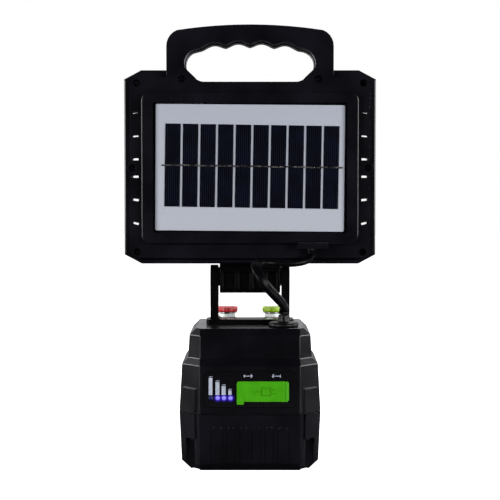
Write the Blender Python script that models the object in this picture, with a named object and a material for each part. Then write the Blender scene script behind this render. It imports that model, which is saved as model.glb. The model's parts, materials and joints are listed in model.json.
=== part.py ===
"""Solar fence energizer: a battery base with fence and earth terminals, and a tilting solar head.

Metres, +Z up, -Y faces the user. The origin is the middle of the footprint, on the ground.
"""

from math import atan, cos, pi, radians, sin, sqrt

import bmesh
import bpy
from mathutils import Matrix, Vector

# ---- clearances and walls
GAP = 0.0003  # between two pieces that touch
FOUR_CORNERS = ((-1, -1), (1, -1), (-1, 1), (1, 1))
WALL = 0.0026  # moulded walls of the base
HEAD_WALL = 0.0024  # moulded walls of the head

# ---- base: two shells that meet at a parting plane
BASE_WIDTH = 0.1120  # at the parting plane
BASE_DEPTH = 0.1040
BASE_HEIGHT = 0.1118
PARTING_Z = 0.0460
SHOULDER_Z = 0.0835  # where the lower body steps in
SHOULDER_RISE = 0.0051
TOP_CHAMFER = 0.0053
FOOT_RISE = 0.0069
FOOT_CHAMFER = 0.0074
FACE_FLAT = 0.0784  # width of the flat front face between the corner facets
LOWER_DRAFT = 0.0018  # how far a wall leans in, over the lower shell
UPPER_DRAFT = 0.0021  # over the upper shell, up to the shoulder
NECK_STEP = 0.0049  # step in at the shoulder
NECK_DRAFT = 0.0010
SEAL_THICK = 0.0006
PILLAR_WIDTH = 0.0140  # corner pillars, along the facet
PILLAR_PROUD = 0.0015
PILLAR_LOW = 0.0260
PILLAR_HIGH = 0.0655
POCKET_WIDTH = 0.0100
POCKET_DEPTH = 0.0075
SCREW_INSET = 0.0045  # a case screw's axis, in from the facet
CASE_SCREW_HOLE = 0.0017
GRIP_RIBS = ((0.00485, 0.0053), (0.0149, 0.0053), (0.0258, 0.0076))  # centre and width, mirrored
GRIP_RIB_LOW = 0.0078
GRIP_RIB_HIGH = 0.0366
GRIP_RIB_PROUD = 0.0010

# ---- label plate and ports, on the front face
LABEL_Z = 0.0654
LABEL_SIZE = (0.0722, 0.0282)
LABEL_CORNER = 0.0035
LABEL_THICK = 0.0007
LABEL_RECESS = 0.0012
LED_XS = (-0.0306, -0.0252, -0.0203, -0.0152)
LED_DROP = -0.0067  # below the label's middle
LED_RADIUS = 0.0016
LED_LENGTH = 0.0056
COVER_SIZE = (0.0406, 0.0157)
COVER_MIDDLE = (0.0100, -0.0015)
COVER_THICK = 0.0020
COVER_CORNER = 0.0020
TAB_SIZE = (0.0056, 0.0067)
TAB_DROP = 0.0022  # how far the tab hangs below the cover
HINGE_BEAD = 0.0014  # radius of the cover's hinge bead
USB_OUT = (0.0005, 0.0131, 0.0057, 0.0110)  # x, width, height, depth
USB_IN = (0.0205, 0.0092, 0.0036, 0.0080)
SOCKET_SHEET = 0.0006

# ---- power button, on the far side of the base
BUTTON_Z = 0.0660
BUTTON_RADIUS = 0.0080
BUTTON_PROUD = 0.0022
BUTTON_TRAVEL = 0.0012
BUTTON_FLANGE = 0.0012

# ---- terminals, behind the yoke
TERMINAL_X = 0.0190
TERMINAL_Y = 0.0290
STUD_RADIUS = 0.0025
STUD_HEAD = 0.0045
STUD_HEAD_HIGH = 0.0042
COLLAR_RADIUS = 0.0068
COLLAR_HIGH = 0.0054
WASHER_RADIUS = 0.0080
WASHER_THICK = 0.0008
KNOB_RADIUS = 0.00875
KNOB_HIGH = 0.0042
KNOB_ROOF = 0.0011
KNOB_FLUTES = 12
FLUTE_DEPTH = 0.0006

# ---- yoke and tilt axis
PIVOT_Z = 0.1505
YOKE_INNER = 0.0518  # between the arms
YOKE_ARM = 0.0063
YOKE_DEPTH = 0.0190
YOKE_PLATE = (0.0710, 0.0200, 0.0038)
YOKE_FILLET = 0.0028
YOKE_SCREW_X = 0.0160
WASHER_GAP = 0.0007  # thickness of a friction washer
FRICTION_RADIUS = 0.0078
BOLT_RADIUS = 0.0025
BOLT_HEAD_RADIUS = 0.0046
BOLT_HEAD_THICK = 0.0028
NUT_FLATS = 0.0080
NUT_THICK = 0.0028
HINGE_DROP = 0.0134  # knuckle below the tilt axis
HINGE_RISE = 0.0113  # knuckle above it
HINGE_DEPTH = 0.0180
HINGE_POCKETS = ((-0.0170, 0.0105), (-0.0045, 0.0095), (0.0070, 0.0095), (0.0180, 0.0080))
HINGE_POCKET_DEPTH = 0.0040
NECK_SIZE = (0.0394, 0.0124)
NECK_RISE = 0.0039  # from the knuckle's top to the flange's underside
NECK_SLACK = 0.0005  # round the neck, in the housing's slot
FLANGE_SIZE = (0.0560, 0.0170, 0.0030)

# ---- head
HEAD_Z = 0.2390
HEAD_SIZE = (0.2004, 0.1538)
HEAD_CHAMFER = (0.0137, 0.0073)
RIM_Y = -0.0230  # the front shell's edge that faces the user
HEAD_FAR_Y = 0.0190
HEAD_SLOPE = 0.0085  # how far the walls lean in at the lamp side
HEAD_DRAFT = 0.0010  # over the straight part of the walls
HEAD_LEDGE = 0.0078  # the cover's ledge, in from the outer wall
POST_RADIUS = 0.0042
SEAM_Y = -0.0150
FACE_Y = -0.0270  # the rear cover's face
COVER_OUTLINE = (0.1900, 0.1432)
COVER_ROUND = 0.0064
COVER_Z = 0.2383
BEZEL_SIZE = (0.1716, 0.1199)
BEZEL_ROUND = 0.0064
BEZEL_PROUD = 0.0040
PANEL_OPENING = (0.1532, 0.1028)
PANEL_SIZE = (0.1500, 0.1000)
PANEL_TURN = radians(0.45)
PANEL_POCKET = 0.0057  # from the bezel's face to the pocket's floor
SEAL_RING = 0.0008
BACKING_THICK = 0.0013
CELL_THICK = 0.0002
SHEET_THICK = 0.0006
CELL_COUNT = 10
CELL_SIZE = (0.0121, 0.0656)
CELL_PITCH = 0.01395
CELL_TURN = radians(0.45)
CELL_SHIFT = 0.0014
RIBBON = (0.1430, 0.0015)

# ---- grip
GRIP_OUTER = 0.1324
GRIP_CROWN_Z = 0.3514
GRIP_SHOULDER_Z = 0.3468
GRIP_CORNER = 0.0135
GRIP_FAR_Y = -0.0030
OPENING_HALF = 0.0520
OPENING_LOW_Z = 0.3064
OPENING_LOW_HALF = 0.0405
OPENING_WIDE_Z = 0.3210
OPENING_TOP_Z = 0.3333
FINGERS = 4
FINGER_PITCH = 0.0194
FINGER_DEPTH = 0.0031
FINGER_CROWN = 0.0027  # how much higher the middle ridge is than the end ones

# ---- cover screws, vents, cable outlet
COVER_SCREWS = ((0.0897, 0.3054), (0.0540, 0.3085), (0.0935, 0.2383), (0.0897, 0.1716))
LOBE_RADIUS = 0.0047
SCREW_HEAD_RADIUS = 0.0025
SCREW_HEAD_HIGH = 0.0020
SCREW_RECESS = 0.0012
SCREW_LENGTH = 0.0160
PILOT_RADIUS = 0.0013
VENT_ZS = (0.0440, 0.0253, 0.0069)  # above and below the head's middle
VENT_TURNS = (radians(12), radians(6), 0.0)
VENT_SIZE = (0.0052, 0.0017)
VENT_X = 0.0910
FAR_VENT_SIZE = (0.0078, 0.0050)
FAR_VENT_X = 0.0945
HOOD_X = (0.0375, 0.0620)
HOOD_Z = (0.1745, 0.1800)
HOOD_SLOPE = 0.0015
HOOD_Y = -0.0362
GLAND_RADIUS = 0.0037
GLAND_PROUD = 0.0016  # how far the gland hangs below the hood
GLAND_X = 0.0480
GLAND_Y = -0.0312

# ---- lamp, inside the front shell
APERTURE = (0.1560, 0.1060)
LENS_REBATE = (0.1640, 0.1140)
LENS_THICK = 0.0014
REBATE_DEPTH = 0.0020
REFLECTOR_WALL = 0.0012
LED_BOARD_Y = (-0.0020, -0.0004)
HEAT_PLATE_Y = (-0.0053, -0.0023)
HEAT_FIN_HIGH = 0.0060
HEAT_FINS = 9
HEAT_FIN_PITCH = 0.0100
HEAT_POST = (0.0600, 0.0360)  # half spacing of the posts behind the plate
HEAT_POST_RADIUS = 0.0035

# ---- lead and its grommet
LEAD_RADIUS = 0.0032
GROMMET_X = 0.0270
GROMMET_Y = -0.0227
GROMMET_RADIUS = 0.0120
GROMMET_THICK = 0.0032
BOOT_RADIUS = 0.0043
BOOT_TOP_Z = 0.1212
LEAD_ROUTE = (
    (GLAND_X, GLAND_Y, HOOD_Z[0] - GLAND_PROUD - 2 * GAP),
    (GLAND_X, GLAND_Y - 0.0003, 0.1692),
    (0.0462, -0.0335, 0.1665),
    (0.0425, -0.0366, 0.1645),
    (0.0372, -0.0390, 0.1634),
    (0.0310, -0.0405, 0.1630),
    (0.0245, -0.0412, 0.1631),
    (0.0180, -0.0422, 0.1635),
    (0.0120, -0.0445, 0.1640),
    (0.0072, -0.0487, 0.1641),
    (0.0046, -0.0543, 0.1630),
    (0.0048, -0.0602, 0.1602),
    (0.0070, -0.0645, 0.1558),
    (0.0103, -0.0660, 0.1504),
    (0.0143, -0.0640, 0.1452),
    (0.0182, -0.0590, 0.1405),
    (0.0218, -0.0520, 0.1362),
    (0.0249, -0.0440, 0.1323),
    (0.0270, -0.0362, 0.1290),
    (0.0279, -0.0310, 0.1284),
    (0.0276, -0.0262, 0.1274),
    (GROMMET_X, GROMMET_Y - 0.0003, 0.1243),
    (GROMMET_X, GROMMET_Y, BOOT_TOP_Z + 2 * GAP),
)

# ---- inside the base
CELL_RADIUS = 0.0092
CELL_LENGTH = 0.0650
CELL_YS = (-0.0270, -0.0075)
CRADLE_XS = (-0.0200, 0.0200)
CRADLE_TOP = 0.0090
CRADLE_THICK = 0.0020
CORE_SIZE = (0.0360, 0.0180, 0.0300)
CORE_WINDOW = (0.0070, 0.0180)
CORE_LEG = 0.0100
CORE_MIDDLE = (-0.0200, 0.0250)
COIL_PROUD = 0.0045
CAPACITOR_SIZE = (0.0320, 0.0140, 0.0240)
CAPACITOR_MIDDLE = (0.0240, 0.0250)
BOARD_SIZE = (0.0680, 0.0300, 0.0016)
BOARD_BACK = 0.0135

TILT_AXIS = Vector((0, 0, PIVOT_Z))
HINGE_HALF = YOKE_INNER / 2 - 2 * GAP - WASHER_GAP
ROUND = 24  # facets on a full circle

# ---- finishes: linear colour, roughness, metallic
FINISHES = {
    "black_abs": ((0.012, 0.012, 0.014), 0.35),
    "gloss_black_abs": ((0.008, 0.008, 0.009), 0.18),
    "black_nylon": ((0.015, 0.015, 0.016), 0.45),
    "black_rubber": ((0.015, 0.015, 0.015), 0.6),
    "cable_pvc": ((0.03, 0.03, 0.033), 0.4),
    "green_tpe": ((0.05, 0.30, 0.002), 0.5),
    "label_film": ((0.01, 0.01, 0.012), 0.3),
    "led_epoxy": ((0.3, 0.25, 0.9), 0.2),
    "red_abs": ((0.45, 0.02, 0.025), 0.35),
    "green_abs": ((0.30, 0.46, 0.01), 0.35),
    "natural_nylon": ((0.85, 0.84, 0.80), 0.4),
    "stainless_steel": ((0.6, 0.6, 0.6), 0.3, 1.0),
    "black_zinc_screw": ((0.02, 0.02, 0.02), 0.35, 1.0),
    "nickel_plate": ((0.6, 0.58, 0.55), 0.3, 1.0),
    "circuit_board": ((0.02, 0.12, 0.05), 0.4),
    "white_circuit_board": ((0.75, 0.75, 0.73), 0.4),
    "battery_wrap": ((0.02, 0.15, 0.40), 0.35),
    "ferrite": ((0.03, 0.03, 0.03), 0.5),
    "enamelled_copper": ((0.45, 0.15, 0.05), 0.3, 0.8),
    "film_capacitor": ((0.5, 0.35, 0.05), 0.4),
    "white_backsheet": ((0.45, 0.47, 0.56), 0.4),
    "silicon_cells": ((0.01, 0.015, 0.05), 0.25),
    "clear_sheet": ((0.9, 0.9, 0.9), 0.05),
    "vacuum_silver": ((0.85, 0.85, 0.85), 0.15, 1.0),
    "extruded_aluminium": ((0.6, 0.6, 0.62), 0.4, 1.0),
}


# ---------------------------------------------------------------- helpers
def plastic(name, colour, roughness, metallic=0.0):
    """A Principled material with one colour, roughness and metallic value."""
    found = bpy.data.materials.new(name)
    found.use_nodes = True
    shader = found.node_tree.nodes["Principled BSDF"]
    shader.inputs["Base Color"].default_value = (*colour, 1)
    shader.inputs["Roughness"].default_value = roughness
    shader.inputs["Metallic"].default_value = metallic
    return found


def place_empty(name, location, turn=0.0):
    """An empty on a joint's axis, or on a slanted face, turned about X."""
    empty = bpy.data.objects.new(name, None)
    bpy.context.scene.collection.objects.link(empty)
    empty.location = location
    empty.rotation_euler.x = turn
    return empty


def place_matrix(empty):
    return Matrix.Translation(empty.location) @ empty.rotation_euler.to_matrix().to_4x4()


def to_object(bm, name, parent=None, local=False):
    """A mesh object from a bmesh. Its points are in world space, or in its parent's when local."""
    bmesh.ops.recalc_face_normals(bm, faces=bm.faces)
    mesh = bpy.data.meshes.new(name)
    bm.to_mesh(mesh)
    bm.free()
    mesh.shade_smooth()
    mesh.set_sharp_from_angle(angle=radians(35))
    obj = bpy.data.objects.new(name, mesh)
    bpy.context.scene.collection.objects.link(obj)
    if parent:
        obj.parent = parent
        if not local:
            obj.matrix_parent_inverse = place_matrix(parent).inverted()
    return obj


def node(bm, name, material, parent=None, local=False):
    obj = to_object(bm, name, parent, local)
    obj.data.materials.append(material)
    return obj


def boolean(obj, bm, operation, parent=None, local=False):
    """Adds or cuts the shapes in bm, which stay as a hidden helper object."""
    helper = to_object(bm, f"{obj.name}_{operation.lower()}_{len(obj.modifiers)}", parent, local)
    helper.hide_render = True
    helper.display_type = "WIRE"
    modifier = obj.modifiers.new(operation.title(), "BOOLEAN")
    modifier.operation = operation
    modifier.object = helper
    modifier.use_self = True


def cut(obj, bm, parent=None, local=False):
    boolean(obj, bm, "DIFFERENCE", parent, local)


def add(obj, bm, parent=None, local=False):
    boolean(obj, bm, "UNION", parent, local)


def loft(bm, rings, closed_tube=False):
    """Skins rings of points, and caps both ends, or joins the last ring to the first."""
    loops = [[bm.verts.new(point) for point in ring] for ring in rings]
    pairs = list(zip(loops, loops[1:]))
    if closed_tube:
        pairs.append((loops[-1], loops[0]))
    else:
        bm.faces.new(loops[0][::-1])
        bm.faces.new(loops[-1])
    for low, high in pairs:
        for i, vert in enumerate(low):
            j = (i + 1) % len(low)
            bm.faces.new((vert, low[j], high[j], high[i]))


def prism_y(bm, outline, near, far):
    """Extrudes an outline of (x, z) points from y = near to y = far."""
    loft(bm, [[(x, y, z) for x, z in outline] for y in (near, far)])


def prism_z(bm, outline, low, high):
    """Extrudes an outline of (x, y) points from z = low to z = high."""
    loft(bm, [[(x, y, z) for x, y in outline] for z in (low, high)])


def prism_x(bm, outline, left, right):
    """Extrudes an outline of (y, z) points from x = left to x = right."""
    loft(bm, [[(x, y, z) for y, z in outline] for x in (left, right)])


def box(bm, low, high):
    corners = ((low[0], low[1]), (high[0], low[1]), (high[0], high[1]), (low[0], high[1]))
    prism_z(bm, corners, low[2], high[2])


def arc(centre, radius, start, end, steps):
    """Points on an arc, with angles in degrees, both ends included."""
    angles = [radians(start + (end - start) * i / steps) for i in range(steps + 1)]
    return [(centre[0] + radius * cos(a), centre[1] + radius * sin(a)) for a in angles]


def circle(centre, radius, steps=ROUND):
    return arc(centre, radius, 0, 360, steps)[:-1]


def rounded_rect(size, radius, centre=(0, 0), steps=4):
    half_w = size[0] / 2 - radius
    half_h = size[1] / 2 - radius
    points = []
    for turn, (sx, sy) in enumerate(((1, 1), (-1, 1), (-1, -1), (1, -1))):
        corner = (centre[0] + sx * half_w, centre[1] + sy * half_h)
        points += arc(corner, radius, 90 * turn, 90 * turn + 90, steps)
    return points


def chamfered_rect(size, chamfer, centre=(0, 0)):
    w, h = size[0] / 2, size[1] / 2
    cx, cy = chamfer
    half = ((w, h - cy), (w - cx, h))
    return [
        (centre[0] + sx * x, centre[1] + sy * y)
        for sx, sy, order in ((1, 1, 1), (-1, 1, -1), (-1, -1, 1), (1, -1, -1))
        for x, y in half[::order]
    ]


def turned(bm, profile, centre, axis="Z", steps=ROUND):
    """A solid of revolution from (radius, height) points; a ring where the profile never meets the axis."""
    rings = []
    for radius, height in profile:
        ring = circle((0, 0), max(radius, 0.0), steps)
        rings.append([(x, y, height) for x, y in ring])
    turn = {"Z": Matrix(), "X": Matrix.Rotation(pi / 2, 4, "Y"), "Y": Matrix.Rotation(-pi / 2, 4, "X")}[axis]
    place = Matrix.Translation(centre) @ turn
    loft(bm, [[place @ Vector(p) for p in ring] for ring in rings], closed_tube=False)


def turned_ring(bm, profile, centre, axis="Z", steps=ROUND):
    """A closed ring of revolution: its profile goes round a section that stays off the axis."""
    turn = {"Z": Matrix(), "X": Matrix.Rotation(pi / 2, 4, "Y"), "Y": Matrix.Rotation(-pi / 2, 4, "X")}[axis]
    place = Matrix.Translation(centre) @ turn
    rings = [[place @ Vector((x, y, h)) for x, y in circle((0, 0), r, steps)] for r, h in profile]
    loft(bm, rings, closed_tube=True)


def cross(centre, reach, slot):
    """The outline of a cross recess, with arms out to reach and slot half as wide as an arm."""
    quarter = ((slot, slot), (slot, reach), (-slot, reach))
    points = []
    for turn in range(4):
        c, s = round(cos(turn * pi / 2)), round(sin(turn * pi / 2))
        points += [(centre[0] + x * c - y * s, centre[1] + x * s + y * c) for x, y in quarter]
    return points


# ---------------------------------------------------------------- base outline
def wall_inset(z):
    """How far the base's walls lean in from the parting plane's outline at height z."""
    neck_low = SHOULDER_Z + SHOULDER_RISE
    neck_high = BASE_HEIGHT - TOP_CHAMFER
    steps = (
        (0.0, LOWER_DRAFT + FOOT_CHAMFER),
        (FOOT_RISE, LOWER_DRAFT),
        (PARTING_Z, 0.0),
        (SHOULDER_Z, UPPER_DRAFT),
        (neck_low, UPPER_DRAFT + NECK_STEP),
        (neck_high, UPPER_DRAFT + NECK_STEP + NECK_DRAFT),
        (BASE_HEIGHT, UPPER_DRAFT + NECK_STEP + NECK_DRAFT + TOP_CHAMFER),
    )
    for (low, at_low), (high, at_high) in zip(steps, steps[1:]):
        if z <= high:
            return at_low + (at_high - at_low) * (z - low) / (high - low)
    return steps[-1][1]


def base_ring(z, extra=0.0):
    """The base's outline at height z, moved in by extra: a rectangle with corner facets."""
    inset = wall_inset(z) + extra
    half_w = BASE_WIDTH / 2 - inset
    half_d = BASE_DEPTH / 2 - inset
    facet = BASE_WIDTH / 2 - FACE_FLAT / 2 - wall_inset(z) - extra * (2 - sqrt(2))
    outline = chamfered_rect((2 * half_w, 2 * half_d), (facet, facet))
    return [(x, y, z) for x, y in outline]


def inner_ring(z, at):
    """The inside of the wall whose outside is the outline at height z, drawn at height at."""
    return [(x, y, at) for x, y, _ in base_ring(z, WALL)]


def facet_middle(z):
    """The middle of the corner facet at height z, in the +X +Y corner."""
    facet = BASE_WIDTH / 2 - FACE_FLAT / 2 - wall_inset(z)
    return FACE_FLAT / 2 + facet / 2, BASE_DEPTH / 2 - wall_inset(z) - facet / 2


def facet_slab(z, width, outward, inward):
    """Corner points of a slab on the facet at height z, reaching outward and inward of it."""
    mid = Vector(facet_middle(z))
    out = Vector((1, 1)).normalized() * outward
    back = Vector((1, 1)).normalized() * inward
    side = Vector((-1, 1)).normalized() * width / 2
    return [mid + side + out, mid + side - back, mid - side - back, mid - side + out]


def screw_axis():
    mid = Vector(facet_middle(PARTING_Z))
    return mid - Vector((1, 1)).normalized() * SCREW_INSET


# ---------------------------------------------------------------- base shells
def corner_pillars(bm, levels):
    """A square pillar in each corner of the base, between two heights."""
    for sx, sy in FOUR_CORNERS:
        rings = []
        for z in levels:
            slab = facet_slab(z, PILLAR_WIDTH, PILLAR_PROUD, 2 * SCREW_INSET)
            rings.append([(sx * p.x, sy * p.y, z) for p in slab])
        loft(bm, rings)


def add_pocket_walls(bm, floor):
    """A block behind each screw pocket, which stays inside the wall and the foot's chamfer."""
    back = facet_slab(PILLAR_LOW, PILLAR_WIDTH, 0, POCKET_DEPTH + WALL)[1:3]
    for sx, sy in FOUR_CORNERS:
        rings = []
        for z in (floor / 2, FOOT_RISE, PILLAR_LOW + WALL):
            front = facet_slab(z, PILLAR_WIDTH, -WALL / 2, 0)
            slab = (front[0], *back, front[3])
            rings.append([(sx * p.x, sy * p.y, z) for p in slab])
        loft(bm, rings)


def add_grip_ribs(shell):
    """Upright ribs with round tops on the front wall."""
    bm = bmesh.new()
    for centre, width in GRIP_RIBS:
        for x in (-centre, centre):
            outline = [(x - width / 2, GRIP_RIB_LOW), (x + width / 2, GRIP_RIB_LOW)]
            outline += arc((x, GRIP_RIB_HIGH - width / 2), width / 2, 0, 180, 6)
            rings = []
            for reach in (-GRIP_RIB_PROUD, WALL / 2):
                rings.append([(px, wall_inset(pz) - BASE_DEPTH / 2 + reach, pz) for px, pz in outline])
            loft(bm, rings)
    add(shell, bm)


def add_cell_cradles(shell, floor):
    """Two cross walls with round seats for the battery cells."""
    bm = bmesh.new()
    low_y = CELL_YS[0] - CELL_RADIUS
    high_y = CELL_YS[1] + CELL_RADIUS
    for x in CRADLE_XS:
        box(bm, (x - CRADLE_THICK / 2, low_y, floor / 2), (x + CRADLE_THICK / 2, high_y, CRADLE_TOP))
    add(shell, bm)
    bm = bmesh.new()
    for y in CELL_YS:
        ring = circle((y, floor + GAP + CELL_RADIUS), CELL_RADIUS + GAP / 2)
        prism_x(bm, ring, CRADLE_XS[0] - 2 * CRADLE_THICK, CRADLE_XS[1] + 2 * CRADLE_THICK)
    cut(shell, bm)


def make_lower_shell(material):
    top = PARTING_Z - SEAL_THICK / 2 - GAP
    floor = WALL
    bm = bmesh.new()
    outside = [base_ring(0), base_ring(FOOT_RISE), base_ring(top)]
    inside = [inner_ring(top, top), inner_ring(FOOT_RISE, FOOT_RISE), inner_ring(floor, floor)]
    loft(bm, outside + inside)
    shell = node(bm, "lower_shell", material)

    bm = bmesh.new()
    corner_pillars(bm, (PILLAR_LOW, top))
    add_pocket_walls(bm, floor)
    add(shell, bm)
    add_grip_ribs(shell)
    add_cell_cradles(shell, floor)

    axis = screw_axis()
    bm = bmesh.new()
    for sx, sy in FOUR_CORNERS:
        slab = facet_slab(FOOT_RISE, POCKET_WIDTH, 2 * WALL, POCKET_DEPTH)
        prism_z(bm, [(sx * p.x, sy * p.y) for p in slab], -WALL, PILLAR_LOW)
        prism_z(bm, circle((sx * axis.x, sy * axis.y), CASE_SCREW_HOLE, 12), PILLAR_LOW - GAP, PARTING_Z)
    cut(shell, bm)


def cut_front_face(shell, face):
    """The label's recess, and openings for the ports and lights behind it."""
    bm = bmesh.new()
    label_hole = rounded_rect(LABEL_SIZE, LABEL_CORNER)
    loft(bm, [[(x, y, z) for x, z in label_hole] for y in (-0.003, LABEL_RECESS)])
    cut(shell, bm, face, local=True)
    bm = bmesh.new()
    for x, width, height, _ in (USB_OUT, USB_IN):
        hole = rounded_rect((width + 2 * GAP, height + 2 * GAP), 0.0008, (x, COVER_MIDDLE[1]), 2)
        prism_y(bm, hole, -0.001, 2 * WALL)
    for x in LED_XS:
        prism_y(bm, circle((x, LED_DROP), LED_RADIUS + GAP, 12), -0.001, 2 * WALL)
    cut(shell, bm, face, local=True)


def cut_roof_and_rear(shell, low, roof):
    """Holes for the case screws, studs, yoke screws, grommet and power button."""
    axis = screw_axis()
    boss_top = SHOULDER_Z - SHOULDER_RISE
    bm = bmesh.new()
    for sx, sy in FOUR_CORNERS:
        prism_z(bm, circle((sx * axis.x, sy * axis.y), CASE_SCREW_HOLE, 12), low - WALL, boss_top - 0.018)
    roof_holes = [(x, TERMINAL_Y, STUD_RADIUS + GAP, 16) for x in (-TERMINAL_X, TERMINAL_X)]
    roof_holes += [(x, 0, 0.0020, 12) for x in (-YOKE_SCREW_X, YOKE_SCREW_X)]
    roof_holes += [(GROMMET_X, GROMMET_Y, BOOT_RADIUS + GAP, 16)]
    for x, y, radius, steps in roof_holes:
        prism_z(bm, circle((x, y), radius, steps), roof - WALL, BASE_HEIGHT + WALL)
    wall_y = BASE_DEPTH / 2 - wall_inset(BUTTON_Z)
    prism_y(bm, circle((0, BUTTON_Z), BUTTON_RADIUS + GAP), wall_y - 2 * WALL, wall_y + WALL)
    cut(shell, bm)


def make_upper_shell(material, face):
    low = PARTING_Z + SEAL_THICK / 2 + GAP
    neck_low = SHOULDER_Z + SHOULDER_RISE
    neck_high = BASE_HEIGHT - TOP_CHAMFER
    roof = BASE_HEIGHT - WALL
    drop = WALL / 2
    rings = [base_ring(z) for z in (BASE_HEIGHT, neck_high, neck_low, SHOULDER_Z, low)]
    rings += [inner_ring(low, low)]
    rings += [inner_ring(z, z - drop) for z in (SHOULDER_Z, neck_low, neck_high)]
    rings += [inner_ring(BASE_HEIGHT, roof)]
    bm = bmesh.new()
    loft(bm, rings)
    shell = node(bm, "upper_shell", material)

    bm = bmesh.new()
    corner_pillars(bm, (low, PILLAR_HIGH))
    add(shell, bm)
    cut_front_face(shell, face)
    cut_roof_and_rear(shell, low, roof)


def make_case_seal(material):
    low = PARTING_Z - SEAL_THICK / 2
    high = PARTING_Z + SEAL_THICK / 2
    edge = 0.0003
    outer = [(x, y) for x, y, _ in base_ring(PARTING_Z, edge)]
    inner = [(x, y) for x, y, _ in base_ring(PARTING_Z, WALL - edge)]
    sections = ((outer, low), (outer, high), (inner, high), (inner, low))
    bm = bmesh.new()
    loft(bm, [[(x, y, z) for x, y in ring] for ring, z in sections], closed_tube=True)
    node(bm, "case_seal", material)


def make_case_screws(material):
    axis = screw_axis()
    head_top = PILLAR_LOW - GAP
    tip = SHOULDER_Z - SHOULDER_RISE - 0.020
    profile = (
        (0.0024, head_top - 0.0022),
        (0.0028, head_top - 0.0018),
        (0.0028, head_top),
        (0.0013, head_top),
        (0.0013, tip - 0.0015),
        (0.0004, tip),
    )
    for number, (sx, sy) in enumerate(FOUR_CORNERS, 1):
        bm = bmesh.new()
        turned(bm, profile, (sx * axis.x, sy * axis.y, 0), steps=12)
        node(bm, f"case_screw_{number}", material)


# ---------------------------------------------------------------- label, lights, ports
def make_label_plate(material, face):
    back = LABEL_RECESS - GAP
    outline = rounded_rect((LABEL_SIZE[0] - 2 * GAP, LABEL_SIZE[1] - 2 * GAP), LABEL_CORNER)
    bm = bmesh.new()
    prism_y(bm, outline, back - LABEL_THICK, back)
    plate = node(bm, "label_plate", material, face, local=True)
    bm = bmesh.new()
    for x, width, height, _ in (USB_OUT, USB_IN):
        hole = rounded_rect((width - 0.0006, height - 0.0006), 0.0007, (x, COVER_MIDDLE[1]), 2)
        prism_y(bm, hole, -0.002, 0.003)
    for x in LED_XS:
        prism_y(bm, circle((x, LED_DROP), LED_RADIUS + GAP, 12), -0.002, 0.003)
    cut(plate, bm, face, local=True)


def make_charge_leds(material, face):
    profile = (
        (LED_RADIUS * 0.4, -0.0004),
        (LED_RADIUS * 0.85, -0.0001),
        (LED_RADIUS, 0.0004),
        (LED_RADIUS, LED_LENGTH),
    )
    for number, x in enumerate(LED_XS, 1):
        bm = bmesh.new()
        turned(bm, profile, (x, 0, LED_DROP), axis="Y", steps=12)
        node(bm, f"charge_led_{number}", material, face, local=True)


def make_usb_sockets(material, face):
    """A metal shell, open to the front, with a tongue from its back wall."""
    front = LABEL_RECESS
    middle = COVER_MIDDLE[1]
    for name, (x, width, height, depth) in (("usb_out_socket", USB_OUT), ("usb_in_socket", USB_IN)):
        back = front + depth
        outer = rounded_rect((width, height), 0.0007, (x, middle), 2)
        inner_size = (width - 2 * SOCKET_SHEET, height - 2 * SOCKET_SHEET)
        inner = rounded_rect(inner_size, 0.0005, (x, middle), 2)
        sections = ((outer, back), (outer, front), (inner, front), (inner, back - SOCKET_SHEET))
        bm = bmesh.new()
        loft(bm, [[(px, y, pz) for px, pz in outline] for outline, y in sections])
        socket = node(bm, name, material, face, local=True)
        bm = bmesh.new()
        half = width / 2 - 2.2 * SOCKET_SHEET
        tongue = height * 0.11
        low_corner = (x - half, front + 0.0022, middle - tongue)
        box(bm, low_corner, (x + half, back - SOCKET_SHEET / 2, middle + tongue))
        add(socket, bm, face, local=True)


def pad_right_edge():
    """The port cover's straight right edge, on its hinge axis, from bottom to top."""
    x = COVER_MIDDLE[0] + COVER_SIZE[0] / 2 - HINGE_BEAD
    half = COVER_SIZE[1] / 2
    return [(x, COVER_MIDDLE[1] - half), (x, COVER_MIDDLE[1] + half)]


def make_port_cover(material, face, hinge):
    """A rubber pad with a pull tab, two plugs on its back and a hinge bead along its right edge."""
    back = LABEL_RECESS - GAP - LABEL_THICK - GAP
    front = back - COVER_THICK
    bm = bmesh.new()
    pad_size = (COVER_SIZE[0] - HINGE_BEAD, COVER_SIZE[1])
    pad = rounded_rect(pad_size, COVER_CORNER, (COVER_MIDDLE[0] - HINGE_BEAD / 2, COVER_MIDDLE[1]))
    pad = [(x, z) for x, z in pad if x < COVER_MIDDLE[0]] + pad_right_edge()
    prism_y(bm, pad, front, back)
    cover = to_object(bm, "port_cover", hinge)
    cover.matrix_parent_inverse = place_matrix(hinge).inverted() @ place_matrix(face)
    cover.data.materials.append(material)

    left = COVER_MIDDLE[0] - COVER_SIZE[0] / 2
    low = COVER_MIDDLE[1] - COVER_SIZE[1] / 2
    tab_middle = (left + TAB_SIZE[0] / 2, low - TAB_DROP + TAB_SIZE[1] / 2)
    bm = bmesh.new()
    prism_y(bm, rounded_rect(TAB_SIZE, 0.0008, tab_middle, 2), front - 0.0005, back - 0.0001)
    right = COVER_MIDDLE[0] + COVER_SIZE[0] / 2
    rise = COVER_SIZE[1] / 2
    bead = circle((right - HINGE_BEAD, back - HINGE_BEAD - 0.0001), HINGE_BEAD, 12)
    prism_z(bm, bead, COVER_MIDDLE[1] - rise, COVER_MIDDLE[1] + rise)
    for x, width, height, _ in (USB_OUT, USB_IN):
        slack = 2 * SOCKET_SHEET + 0.0016
        plug = rounded_rect((width - slack, height - slack), 0.0004, (x, COVER_MIDDLE[1]), 2)
        prism_y(bm, plug, back - 0.0006, back + 0.0016)
    add(cover, bm, face, local=True)


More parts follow.
